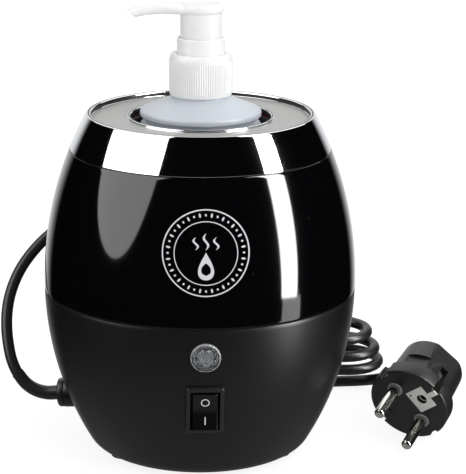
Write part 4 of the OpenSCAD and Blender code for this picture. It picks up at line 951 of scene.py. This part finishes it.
@dataclass
class Bottle:
    """The frosted bottle in the well."""

    radius: float = 25.95
    wall: float = 1.2
    foot_z: float = 31.5
    foot_r: float = 3.0
    side_top_z: float = 149.5
    neck_z: float = 157.6
    neck_foot_r: float = 12.8
    neck_r: float = 10.8
    thread_r: float = 11.9
    neck_top_z: float = 168.9
    bore_r: float = 8.4
    thread_rises: tuple[float, float] = (3.4, 7.2)

    def build(self) -> None:
        """Makes the bottle with its thread."""
        r, inner, foot, side = self.radius, self.radius - self.wall, self.foot_z, self.side_top_z
        neck, neck_r, collar = self.neck_z, self.neck_r, self.neck_foot_r
        thread: list[Corner] = []
        for rise in self.thread_rises:
            z = neck + rise
            thread += [(neck_r, z - 0.3, 0.2), (self.thread_r, z + 0.2, 0.2), (self.thread_r, z + 0.9, 0.2),
                       (neck_r, z + 1.5, 0.2)]
        corners = [
            (0.0, foot + 1.0), (r - 7.0, foot + 0.8, 2.0), (r - 4.5, foot, 1.0), (r, foot, self.foot_r),
            (r, side - 3.0, 0.5), (r - 2.2, side - 2.0, 0.5), (r - 2.2, side, 0.3), (r + 0.3, side + 0.4, 0.5),
            (r + 0.3, side + 2.7, 1.2), (collar + 0.5, neck, 0.8), (collar, neck + 0.4, 0.2),
            (collar, neck + 1.2, 0.2), (neck_r, neck + 1.6, 0.3), *thread, (neck_r, self.neck_top_z, 0.3),
            (self.bore_r, self.neck_top_z, 0.3), (self.bore_r, neck - 1.0, 1.0), (inner - 2.4, side + 1.4, 1.0),
            (inner - 2.4, side - 3.5, 0.5), (inner, side - 4.5, 0.5), (inner, foot + self.wall, 2.0),
            (0.0, foot + self.wall + 1.0)]
        add_object("frosted_bottle", turned(corners, 6, 160, False), Finishes.BOTTLE, Body.BOTTLE, 45.0,
                   ["bottle"])


@dataclass
class Pump:
    """The white pump: ribbed closure, collar, sliding skirt and head with its spout."""

    closure_r: float = 13.7
    closure_z: float = 159.0
    closure_top_z: float = 177.0
    roof_t: float = 1.6
    bore_r: float = 12.3
    hole_r: float = 10.6
    ribs: int = 84
    rib_depth: float = 0.32
    collar_r: float = 10.4
    collar_top_z: float = 183.8
    collar_z: float = 171.7
    collar_bore_r: float = 9.2
    stem_hole_r: float = 3.2
    flange_r: float = 12.0
    skirt_r: float = 8.95
    skirt_z: float = 182.3
    head_z: float = 194.3
    head_top_z: float = 198.5
    head_r: float = 9.9
    stem_r: float = 3.05
    socket_r: float = 4.25
    channel_d: float = 2.4
    spout_power: float = 2.6
    spout_rows: tuple[tuple[float, ...], ...] = (
        (2.0, 195.9, 8.6, 1.8), (-4.0, 195.9, 8.0, 2.1), (-9.0, 196.0, 6.6, 2.25), (-13.0, 196.2, 4.9, 2.3),
        (-17.5, 196.2, 3.9, 2.3), (-21.0, 195.9, 3.5, 2.3), (-24.4, 195.5, 3.4, 2.25),
        (-27.0, 194.9, 3.4, 2.2), (-29.9, 194.0, 3.2, 2.6))

    def build(self) -> None:
        """Makes the pump's visible pieces."""
        self.closure()
        self.collar()
        self.head()

    def closure(self) -> None:
        """Makes the closure and raises its ribs."""
        r, foot, top = self.closure_r - self.rib_depth, self.closure_z, self.closure_top_z
        roof = top - self.roof_t
        corners = [(self.bore_r, foot), (r, foot, 0.25), (r, foot + 0.7),
                   *[(r, foot + 1.0 + 0.85 * k) for k in range(17)],
                   (r, top - 1.4), (r - 0.7, top, 0.4), (self.hole_r, top, 0.25), (self.hole_r, roof),
                   (self.bore_r, roof)]
        bm = turned(corners, 5, self.ribs * 6)
        low, high = foot + 0.8, top - 1.7
        for vert in bm.verts:
            reach = math.hypot(vert.co.x, vert.co.y)
            if reach > r - 0.3 and low < vert.co.z < high:
                angle = math.atan2(vert.co.y, vert.co.x)
                fade = min(1.0, (vert.co.z - low) / 0.5, (high - vert.co.z) / 0.8)
                rise = self.rib_depth * fade * (0.5 + 0.5 * math.cos(self.ribs * angle)) ** 0.6
                vert.co.x *= (reach + rise) / reach
                vert.co.y *= (reach + rise) / reach
        add_object("ribbed_closure", bm, Finishes.PUMP, Body.CLOSURE, 60.0, ["pump_closure"])

    def collar(self) -> None:
        """Makes the smooth collar that guides the skirt."""
        top, low, hole = self.collar_top_z, self.collar_z, self.stem_hole_r
        corners = [(hole, low), (self.flange_r, low, 0.2), (self.flange_r, low + 3.5, 0.2),
                   (self.collar_r, low + 3.5, 0.1), (self.collar_r, top, 0.6), (self.collar_bore_r, top, 0.25),
                   (self.collar_bore_r, low + 0.8, 0.1), (hole, low + 0.8)]
        add_object("smooth_collar", turned(corners, 6, 128), Finishes.PUMP, Body.PUMP_UNIT,
                   replaces=["pump_collar"])

    def head(self) -> None:
        """Makes the head: skirt, stem socket, dished top and spout with its channel, as one shell."""
        r, z, top, skirt, stem = self.skirt_r, self.head_z, self.head_top_z, self.skirt_z, self.stem_r
        skirt_form = [(r - 1.2, skirt), (r, skirt, 0.3), (r, z), (r, z + 1.5), (r - 1.2, z + 1.5)]
        socket = [(stem, skirt + 4.0), (self.socket_r, skirt + 4.0), (self.socket_r, z + 0.8), (stem, z + 0.8)]
        cap_r = self.head_r
        cap = [(0.0, z), (cap_r - 1.0, z), (cap_r, z + 1.2, 1.4), (cap_r - 0.1, z + 3.2, 1.0),
               (cap_r - 1.6, top, 0.8), (cap_r - 3.4, top - 0.25, 1.0), (3.0, top - 0.9, 3.0), (0.0, top - 0.9)]
        piece = solid(turned(cap, 6, 96, False), "pump_head_shell")
        combine(piece, [solid(self.spout()), solid(turned(skirt_form, 4, 128)), solid(lathe(socket, 64))],
                "UNION")
        along = Matrix.Translation((-22.0, 0, 195.1)) @ spin_by(-99, "Y")
        combine(piece, [solid(rod(self.channel_d, -12.0, 12.0, 32), place=along)])
        finish_solid(piece, Finishes.PUMP, 38.0, ["pump_head"], Body.HEAD)

    def spout(self) -> BM:
        """The spout, from the cap to its oblique tip."""
        sections = []
        for x, z, half_w, half_h in self.spout_rows:
            lean = 1.36 if x < -28 else 0.08 * max(0.0, -22 - x)
            up = (Vector((0, 0, 1)) + Vector((-lean, 0, 0))).normalized()
            sections.append((Vector((x, 0, z)), Vector((0, 1, 0)), up, half_w, half_h, self.spout_power))
        return loft(sections, 40)


FREE_ROUTE: tuple[Point, ...] = (
    (-63.5, 8.9, 19.8), (-68.6, 9.6, 19.4), (-73.7, 10.4, 20.5), (-78.3, 11.8, 23.2),
    (-82.2, 13.5, 27.8), (-84.8, 15.8, 33.4), (-86.2, 18.6, 39.4), (-87, 21.8, 45.6), (-87, 25.2, 52),
    (-86, 28.8, 58.4), (-83.9, 32.4, 64.6), (-80.7, 35.8, 70.6), (-76.4, 39, 76.2), (-71.2, 42, 81.4),
    (-65.2, 44.8, 86), (-58.8, 47.9, 89.6), (-52, 51.8, 91.6), (-45.7, 56.8, 91.1), (-40.7, 61.8, 87.8),
    (-37.6, 66, 82.2), (-36.2, 69, 75), (-36, 70.5, 67), (-36.5, 70.6, 58.8), (-37.1, 69.6, 50.8),
    (-36.9, 67.7, 43.2), (-35.3, 65.2, 35.8), (-32, 62.7, 29.3), (-26.8, 60.8, 24.2), (-19.8, 60.2, 21.3),
    (-11.7, 61.45, 20.56))
LEAD_ROUTE: tuple[Point, ...] = (
    (22.3, 67, 4.2), (28.4, 67, 4), (34.6, 67, 3.4), (41, 67, 2.9), (48, 67, 2.7), (55.8, 67, 2.7),
    (63.8, 67, 2.7), (71.4, 67, 2.9), (77.8, 66, 3.4), (83.6, 63, 4.8), (88.1, 58.5, 7),
    (91.2, 52.4, 9.9), (92.2, 49, 11.1))


@dataclass
class Cord:
    """The mains cord: gland, free arc, tied bundle and lead to the plug, as one length."""

    diameter: float = 5.2
    fold_r: float = 15.6
    run: float = 100.0
    waist: float = 8.0
    gap: float = 0.6
    loops: int = 3
    left_x: float = -27.7
    middle_y: float = 74.6
    join: float = 16.0
    floor_gap: float = 0.1
    tie_w: float = 9.0
    tie_t: float = 1.2
    tie_band_t: float = 1.1
    tie_corner_r: float = 2.6
    sleeve_r: tuple[float, float] = (3.3, 2.85)
    tie_gap: float = 0.3
    length: float = 1.234
    rows: int = 18
    folds: int = 14

    def drawn_in(self, s: float) -> float:
        """How far the tie draws a run in, at a distance along it."""
        end = min(s, self.run - s)
        ramp = self.run / 2 - self.tie_w / 2 - self.diameter / 2
        return self.waist * math.sin(math.pi / 2 * min(1.0, end / ramp)) ** 2

    def fanned(self, s: float) -> float:
        """Share of the right folds' fanning out, at a distance along a run."""
        return math.sin(math.pi / 2 * max(0.0, 2 * s / self.run - 1)) ** 2

    def layer_z(self, layer: float, s: float) -> float:
        """Height of a layer, at a distance along its run."""
        lift = 3 + 0.85 * (layer - 1) ** 2
        return (self.floor_gap + self.diameter / 2 + layer * (self.diameter + self.gap)
                + lift * self.fanned(s) + (self.tie_t + self.tie_gap) * self.drawn_in(s) / self.waist)

    def fold_shift(self, layer: float) -> float:
        """How far a layer's right fold reaches beyond the others."""
        return 2 - 1.9 * max(0.0, layer - 1) ** 1.6

    def run_point(self, s: float, layer: float, side: int) -> Point:
        """A point on a straight run: side is 1 at the rear and -1 at the front."""
        return (self.left_x + s + self.fold_shift(layer) * self.fanned(s),
                self.middle_y + side * (self.fold_r - self.drawn_in(s)), self.layer_z(layer, s))

    def fold_point(self, degrees: float, layer: float, right: bool) -> Point:
        """A point on a fold at one end of the bundle."""
        a = math.radians(degrees)
        x = self.left_x + (self.run + self.fold_shift(layer) if right else 0.0)
        return (x + self.fold_r * math.cos(a), self.middle_y + self.fold_r * math.sin(a),
                self.layer_z(layer, self.run if right else 0.0))

    def loop(self, layer: int, start: int) -> list[Point]:
        """One loop of the bundle, which ends one layer lower."""
        rows, folds, run = self.rows, self.folds, self.run
        sinks = [(1 - math.cos(math.pi * i / rows)) / 2 for i in range(rows + 1)]
        return ([self.run_point(run * i / rows, layer, -1) for i in range(start, rows + 1)]
                + [self.fold_point(-90 + 180 * i / folds, layer, True) for i in range(1, folds)]
                + [self.run_point(run * (1 - i / rows), layer - sink, 1) for i, sink in enumerate(sinks)]
                + [self.fold_point(90 + 180 * i / folds, layer - 1, False) for i in range(1, folds)])

    def centreline(self) -> list[Vector]:
        """The cord's whole centreline in metres; its bundle ends at the middle, on the floor."""
        bundle = [self.run_point(self.join, self.loops, -1)]
        for layer in range(self.loops, 0, -1):
            bundle += self.loop(layer, 4 if layer == self.loops else 0)
        bundle += [self.run_point(self.run * i / self.rows, 0, -1) for i in range(self.rows // 2)]
        route = smooth_route(FREE_ROUTE)[:-1] + [Vector(p) for p in bundle] + smooth_route(LEAD_ROUTE)
        return [p * MM for p in route]

    def build(self, plug_pieces: list[Obj]) -> None:
        """Args:
            plug_pieces: The pieces of the plug at its far end; not used.
        """
        line = self.centreline()
        cord = self.tube("mains_cord", line, [self.diameter / 2] * len(line))
        dress(cord, Finishes.CORD, replaces=["power_cord", "cord_hank", "plug_lead"])
        sleeve_line = [p * MM for p in smooth_route(FREE_ROUTE[:5], 4)]
        last = len(sleeve_line) - 1
        wide, slim = self.sleeve_r
        radii = [wide - (wide - slim) * i / last for i in range(last + 1)]
        bare = self.tube("sleeve_line", sleeve_line, radii)
        sleeve = new_object("cord_sleeve_skin", evaluated_mesh(bare))
        bpy.data.objects.remove(bare)
        dress(sleeve, Finishes.CORD, sharp=32.0, replaces=["cord_sleeve"])
        tie = self.tie()

    def tube(self, name: str, line: Sequence[Vector], radii: Sequence[float]) -> Obj:
        """A round curve along a line, with its own radius in millimetres at each point."""
        curve = bpy.data.curves.new(name, "CURVE")
        curve.dimensions = "3D"
        curve.bevel_depth = MM
        curve.bevel_resolution = 5
        curve.use_fill_caps = True
        curve.twist_mode = "MINIMUM"
        spline = curve.splines.new("POLY")
        spline.points.add(len(line) - 1)
        for point, place, radius in zip(spline.points, line, radii):
            point.co = (*place, 1.0)
            point.radius = radius
        spline.use_smooth = True
        return new_object(name, curve)

    def tie(self) -> Obj:
        """Makes the flat tie round the bundle's waist."""
        half_w = self.fold_r - self.waist + self.diameter / 2 + self.tie_gap
        half_h = (self.loops * (self.diameter + self.gap) + self.diameter) / 2 + self.tie_gap
        centre = Vector((self.left_x + self.run / 2, self.middle_y, self.floor_gap + self.tie_t + half_h))
        signs = ((-1, -1), (1, -1), (1, 1), (-1, 1))
        loop = rounded([(y * half_w, z * half_h, self.tie_corner_r) for y, z in signs], 6)
        bm = bmesh.new()
        verts = [bm.verts.new((-self.tie_w / 2, y, z)) for y, z in loop]
        edges = [bm.edges.new(pair) for pair in zip(verts, verts[1:] + verts[:1])]
        pull(bm, bmesh.ops.extrude_edge_only(bm, edges=edges), (self.tie_w, 0, 0))
        bmesh.ops.recalc_face_normals(bm, faces=bm.faces)
        bmesh.ops.solidify(bm, geom=bm.faces[:], thickness=-self.tie_band_t)
        bmesh.ops.translate(bm, vec=centre, verts=bm.verts)
        return add_object("bundle_tie", bm, Finishes.TIE, replaces=["cord_tie"])


@dataclass
class Plug:
    """The moulded plug, drawn with its face at z = 0 and its pins along +Z, side by side along X."""

    place_mm: Point = (93.9, -5.4, 17.4)
    turn: Point = (121.4, 49.4, -6.0)
    diameter: float = 37.0
    face_t: float = 8.0
    slot_end: float = -19.0
    hole_at: tuple[float, float] = (0.3, 8.7)
    hole_d: float = 4.9
    pin_spacing: float = 19.0
    pin_d: float = 4.8
    pin_l: float = 19.0
    neck_from: float = -20.0
    neck_turn: float = 120.0
    neck_l: float = 42.0
    cord_r: float = 2.6

    def place(self) -> Matrix:
        """Turns and moves the plug to where it lies."""
        x, y, z = self.turn
        return Matrix.Translation(self.place_mm) @ (spin_by(z, "Z") @ spin_by(y, "Y") @ spin_by(x, "X"))

    def build(self) -> list[Obj]:
        """Makes the plug.

        Returns:
            Its pieces, with the CAD node that stays as it is, for the cord.
        """
        return [self.body(), self.pins(), self.collars(), self.earth_plate(), bpy.data.objects["plug_earth"]]

    def body(self) -> Obj:
        """Makes the moulded body: face, straight grip, ribbed neck and the hollows."""
        r, back = self.diameter / 2, -self.face_t
        face = [(0.0, 0.0), (r, 0.0, 1.0), (r, back, 0.6), (r - 3.0, back - 0.6, 0.5), (0.0, back - 0.6)]
        grip = [(0.0, -7.0), (15.6, -7.0), (15.5, -8.6), (14.6, -29.0, 0.5), (13.6, -30.0, 0.3), (0.0, -30.0)]
        piece = solid(turned(face, 5, 128, False), "plug_body_shell")
        combine(piece, [solid(turned(grip, 4, 96, False)), solid(self.neck())], "UNION")
        combine(piece, self.recesses())
        combine(piece, [solid(block((3.8, 0.9, 1.4), (-1.3, -11.0, -0.3), 0.2))], "UNION")
        return finish_solid(piece, Finishes.PLUG, 38.0, ["plug_body"], place=self.place())

    def recesses(self) -> list[Obj]:
        """The hollows for the clips, the side guides, the pins, the earth hole and the moulded lines.

        Returns:
            The cutters.
        """
        cuts = [(block((1.0, 1.6, 20.0), (0, 15.2, -20.5), 0.2), spin_by(degrees - 90.0, "Z"))
                for degrees in (115.0, -65.0)]
        cuts.append((rod(self.hole_d, -6.0, 2.0, at=self.hole_at), IDENTITY))
        for side in (-1, 1):
            for form in (block((4.4, 7.0, 20.0), (0, side * 19.3, 9.2 - self.face_t), 0.2),
                         block((3.6, 6.0, 11.5), (0, side * 14.0, self.slot_end + 5.75), 0.2),
                         block((3.2, 5.0, 30.0), (side * self.diameter / 2, 0, 0), 0.4),
                         rod(self.pin_d + 0.2, -8.0, 2.0, at=(side * self.pin_spacing / 2, 0))):
                cuts.append((form, IDENTITY))
            for degrees, size, distance, z, lean in ((54.0, (11.0, 6.0, 8.5), 13.5, -13.6, 0.0),
                                                     (10.0, (26.0, 6.0, 24.0), 13.4, -20.5, 6.5)):
                place = (spin_by(degrees + 90.0 * (1 - side), "Z") @ Matrix.Translation((0, distance, z))
                         @ spin_by(-lean, "X"))
                cuts.append((block(size, (0, 3.0, 0.0), 0.3), place))
        return [solid(form, place=place) for form, place in cuts]

    def neck(self) -> BM:
        """The ribbed neck that the cord leaves by."""
        rows: Profile = [(6.2, 0.0), (6.2, 8.0)]
        start, end, ribs = 13.0, self.neck_l, 7
        pitch = (end - start) / ribs
        for i in range(ribs):
            z = start + i * pitch
            r = 6.0 - (6.0 - self.cord_r - 1.1) * (i / (ribs - 1))
            rows += [(r, z), (r, z + pitch * 0.58), (r - 0.75, z + pitch * 0.66), (r - 0.75, z + pitch * 0.92)]
        rows[-1] = (rows[-1][0], end)
        corners = [(0.0, 0.0), *[(r, z, 0.25) for r, z in rows], (0.0, end)]
        turn = Matrix.Translation((0, 0, self.neck_from)) @ spin_by(self.neck_turn, "X")
        return moved(turned(corners, 3, 64, False), turn)

    def pins(self) -> Obj:
        """Makes the two nickel pins with their rounded ends."""
        r = self.pin_d / 2
        corners = [(0.0, -7.9), (r, -7.9), (r, self.pin_l, 1.6), (0.0, self.pin_l)]
        return add_object("contact_pins", self.pair(corners, 8, False), Finishes.NICKEL,
                          replaces=["plug_pins"])

    def collars(self) -> Obj:
        """Makes the rings round the roots of the pins, in a lighter grey that is a painted highlight for the
        light that they catch.
        """
        r = self.pin_d / 2
        corners = [(r + 0.12, -0.4), (r + 1.15, -0.4), (r + 1.15, 0.45, 0.3), (r + 0.12, 0.45, 0.15)]
        return add_object("pin_collars", self.pair(corners, 3, True), Finishes.COLLAR)

    def pair(self, corners: Sequence[Corner], steps: int, closed: bool) -> BM:
        """Turns an outline round each pin's axis.

        Args:
            corners: The outline's corners.
            steps: Segments of each corner.
            closed: Whether the outline is a loop.

        Returns:
            Both solids in their place.
        """
        bm = bmesh.new()
        for side in (-1, 1):
            form = turned(corners, steps, 48, closed)
            bmesh.ops.translate(form, vec=(side * self.pin_spacing / 2, 0, 0), verts=form.verts)
            mesh = mesh_of("turned", form)
            bm.from_mesh(mesh)
            bpy.data.meshes.remove(mesh)
        return moved(bm, self.place())

    def earth_plate(self) -> Obj:
        """Makes the plate round the earth hole, with the strip that runs from it to the rim."""
        x, y = self.hole_at
        plate = solid(block((11.4, 9.8, 0.7), (x, y - 0.6, 0.0), 0.25), "earth_plate")
        combine(plate, [solid(block((2.6, 6.0, 0.8), (x, y + 6.0, 0.15), 0.2))], "UNION")
        combine(plate, [solid(rod(self.hole_d, -2.0, 2.0, at=(x, y))),
                        solid(rod(1.1, -2.0, 2.0, at=(x - 3.9, y - 3.8)))])
        return finish_solid(plate, Finishes.PLATE, 20.0, place=self.place())


@dataclass
class Gland:
    """The strain relief's flange where the cord leaves the base."""

    shells: Shells
    flange_r: float = 6.5
    flange_t: float = 3.0
    barrel_r: float = 4.6
    bore_r: float = 2.75
    barrel_l: float = 13.0

    def build(self) -> None:
        """Makes the flange and its barrel."""
        back = -self.flange_t
        end = back - self.barrel_l
        corners = [(self.bore_r, end), (self.barrel_r, end, 0.4), (self.barrel_r, back),
                   (self.flange_r, back, 0.5), (self.flange_r, 0.0, 1.3), (3.5, 0.0, 0.6), (3.4, 0.5, 0.2),
                   (self.bore_r, 0.5, 0.1)]
        add_object("cord_flange", moved(turned(corners, 6, 96), self.shells.at_gland()), Finishes.GLAND,
                   replaces=["cord_gland"])


@dataclass
class Well:
    """The metal cup that lines the well."""

    inner_r: float = 30.3
    wall: float = 1.2
    floor_z: float = 31.2
    top_z: float = 146.2
    flange_r: float = 38.0

    def build(self) -> None:
        """Makes the cup."""
        outer, inner = self.inner_r + self.wall, self.inner_r
        floor, under, top = self.floor_z, self.floor_z - self.wall, self.top_z
        low = top - self.wall
        corners = [(0.0, under), (outer, under, 1.5), (outer, low, 0.3), (self.flange_r, low, 0.3),
                   (self.flange_r, top, 0.3), (inner, top, 0.8), (inner, floor, 1.0), (0.0, floor)]
        # The cup's dark grey finish is painted shade for the gap between bottle and bead.
        add_object("well_cup", turned(corners, 5, 160, False), Finishes.CUP_METAL, replaces=["heater_cup"])


class SeenBy(Enum):
    """What a soft light serves: the shine on the surfaces, or their plain shading."""

    SHINE = "shine"
    SHADING = "shading"


@dataclass(frozen=True)
class Softbox:
    """A soft light: where it stands, how large it looks, in degrees, and how bright it is."""

    name: str
    azimuth: float
    elevation: float
    width: float
    height: float
    radiance: float
    seen_by: SeenBy = SeenBy.SHINE
    oval: bool = False
    roll: float = 0.0
    distance: float = 1.5

    def build(self, aim: Vector) -> None:
        """Places the light so that it looks at a point in metres."""
        data = bpy.data.lights.new(self.name, "AREA")
        data.shape = "ELLIPSE" if self.oval else "RECTANGLE"
        data.size, data.size_y = (2 * self.distance * math.tan(math.radians(a) / 2)
                                  for a in (self.width, self.height))
        area = data.size * data.size_y * (math.pi / 4 if self.oval else 1.0)
        data.energy = self.radiance * math.pi * area
        light = new_object(self.name, data)
        a, e = math.radians(self.azimuth), math.radians(self.elevation)
        away = Vector((math.sin(a) * math.cos(e), -math.cos(a) * math.cos(e), math.sin(e)))
        turn = away.to_track_quat("Z", "Y").to_matrix().to_4x4()
        light.matrix_world = Matrix.Translation(aim + away * self.distance) @ turn @ spin_by(self.roll, "Z")
        light.visible_camera = False
        light.visible_diffuse = self.seen_by is SeenBy.SHADING
        light.visible_glossy = self.seen_by is SeenBy.SHINE


@dataclass
class Studio:
    """Camera, pale floor and soft light."""

    camera_mm: Point = (-31.15, -849.43, 332.21)
    forward: Point = (0.05164, 0.96179, -0.26888)
    up: Point = (0.00566, 0.26895, 0.96314)
    lens: float = 152.3
    floor_r: float = 12.0
    floor_glow: float = 1.15
    glow_share: float = 0.75
    aim_mm: Point = (0.0, 0.0, 95.0)
    softboxes: tuple[Softbox, ...] = (
        Softbox("right_strip", 66, 25, 16, 74, 20.0, roll=-3),
        Softbox("right_strip_low", 66, -20, 15, 16, 3.0),
        Softbox("left_panel", -72, 36, 54, 74, 3.0, oval=True, roll=12),
        Softbox("back_top", 172, 50, 70, 40, 1.4),
        Softbox("key", 50, 40, 40, 40, 2.1, SeenBy.SHADING),
    )

    def camera(self) -> None:
        """Places the camera as the photograph's."""
        data = bpy.data.cameras.new("photo_camera")
        data.lens = self.lens
        data.sensor_width = 36.0
        data.clip_start, data.clip_end = 0.05, 60.0
        camera = new_object("photo_camera", data)
        back = -Vector(self.forward).normalized()
        right = Vector(self.up).cross(back).normalized()
        camera.matrix_world = Matrix.Translation(Vector(self.camera_mm) * MM) @ Matrix(
            (right, back.cross(right), back)).transposed().to_4x4()
        bpy.context.scene.camera = camera

    def floor(self) -> None:
        """Makes the plain pale floor, which is lit softly and throws no glare on the object."""
        bm = bmesh.new()
        bmesh.ops.create_circle(bm, cap_ends=True, segments=96, radius=self.floor_r)
        floor = new_object("floor", mesh_of("floor", bm))
        material = bpy.data.materials.new("pale_floor")
        material.use_nodes = True
        tree = material.node_tree
        shader = tree.nodes["Principled BSDF"]
        shader.inputs["Base Color"].default_value = (0.93, 0.93, 0.93, 1.0)
        shader.inputs["Roughness"].default_value = 0.9
        shader.inputs["Specular IOR Level"].default_value = 0.1
        glow = add_node(tree, "Emission", {"Strength": self.floor_glow})
        path = add_node(tree, "LightPath")
        share = add_node(tree, "Math", {1: self.glow_share}, operation="MULTIPLY")
        mix = add_node(tree, "MixShader")
        wire(tree, (path, "Is Camera Ray", share, 0), (share, 0, mix, "Fac"), (shader, 0, mix, 1),
             (glow, 0, mix, 2), (mix, 0, tree.nodes["Material Output"], "Surface"))
        floor.data.materials.append(material)
        floor.visible_glossy = False
        floor.visible_shadow = False

    def world(self) -> None:
        """White behind the object, a soft dome for its shading, and a dark room for its shine."""
        world = bpy.data.worlds.new("studio")
        world.use_nodes = True
        tree = world.node_tree
        tree.nodes.clear()
        path, place, split = (add_node(tree, kind) for kind in ("LightPath", "TexCoord", "SeparateXYZ"))
        seen, dome, room = (add_node(tree, "Background", {"Color": color})
                            for color in (WHITE, WHITE, COOL_WHITE))
        wire(tree, (place, "Generated", split, "Vector"))
        ramps = []
        for axis, low, high, at_low, at_high in (("X", -1.0, 1.0, 0.84, 0.94), ("Y", 0.76, 0.94, 0.002, 0.85),
                                                 ("Z", -0.75, -0.35, 0.24, 0.0)):
            node = add_node(tree, "MapRange", {"From Min": low, "From Max": high, "To Min": at_low,
                                               "To Max": at_high}, interpolation_type="SMOOTHSTEP")
            wire(tree, (split, axis, node, "Value"))
            ramps.append(node)
        side, behind, below = ramps
        both = add_node(tree, "Math", operation="MAXIMUM")
        shaded, mix = add_node(tree, "MixShader"), add_node(tree, "MixShader")
        out = add_node(tree, "OutputWorld")
        wire(tree, (side, "Result", dome, "Strength"), (behind, "Result", both, 0),
             (below, "Result", both, 1), (both, 0, room, "Strength"),
             (path, "Is Glossy Ray", shaded, "Fac"), (dome, 0, shaded, 1), (room, 0, shaded, 2),
             (path, "Is Camera Ray", mix, "Fac"), (shaded, 0, mix, 1), (seen, 0, mix, 2),
             (mix, 0, out, "Surface"))
        world.cycles.sampling_method = "NONE"
        bpy.context.scene.world = world

    def build(self) -> None:
        """Makes the studio."""
        self.floor()
        self.world()
        for softbox in self.softboxes:
            softbox.build(Vector(self.aim_mm) * MM)
        bpy.context.scene.view_settings.view_transform = "Standard"


def dress_cad_nodes(nodes: dict[str, Obj], record: dict) -> None:
    """Gives every CAD node the finish of its material slot.

    Args:
        nodes: The frame's CAD nodes by name.
        record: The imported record.
    """
    slot_of = {part["node"]: part["material_slot"] for part in record["subparts"]}
    for name, node in nodes.items():
        finish = Finishes.by_slot(slot_of[name])
        node.data.materials.clear()
        node.data.materials.append(finish.build())
        LOG.info("%s dressed as %s", name, finish.name)


def main() -> None:
    """Builds the studio, the cord and every piece of the object."""
    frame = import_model()
    studio = Studio()
    studio.camera()
    shells = Shells()
    Cord().build(Plug().build())
    Gland(shells).build()
    studio.build()
    dress_cad_nodes(frame["nodes"], frame["record"])
    for group in (shells, Badge(), Switch(), Lamp(), Well(), Bottle(), Pump()):
        group.build()
    bpy.context.view_layer.update()


if __name__ == "__main__":
    logging.basicConfig(level=logging.INFO, format="%(name)s: %(message)s")
    main()
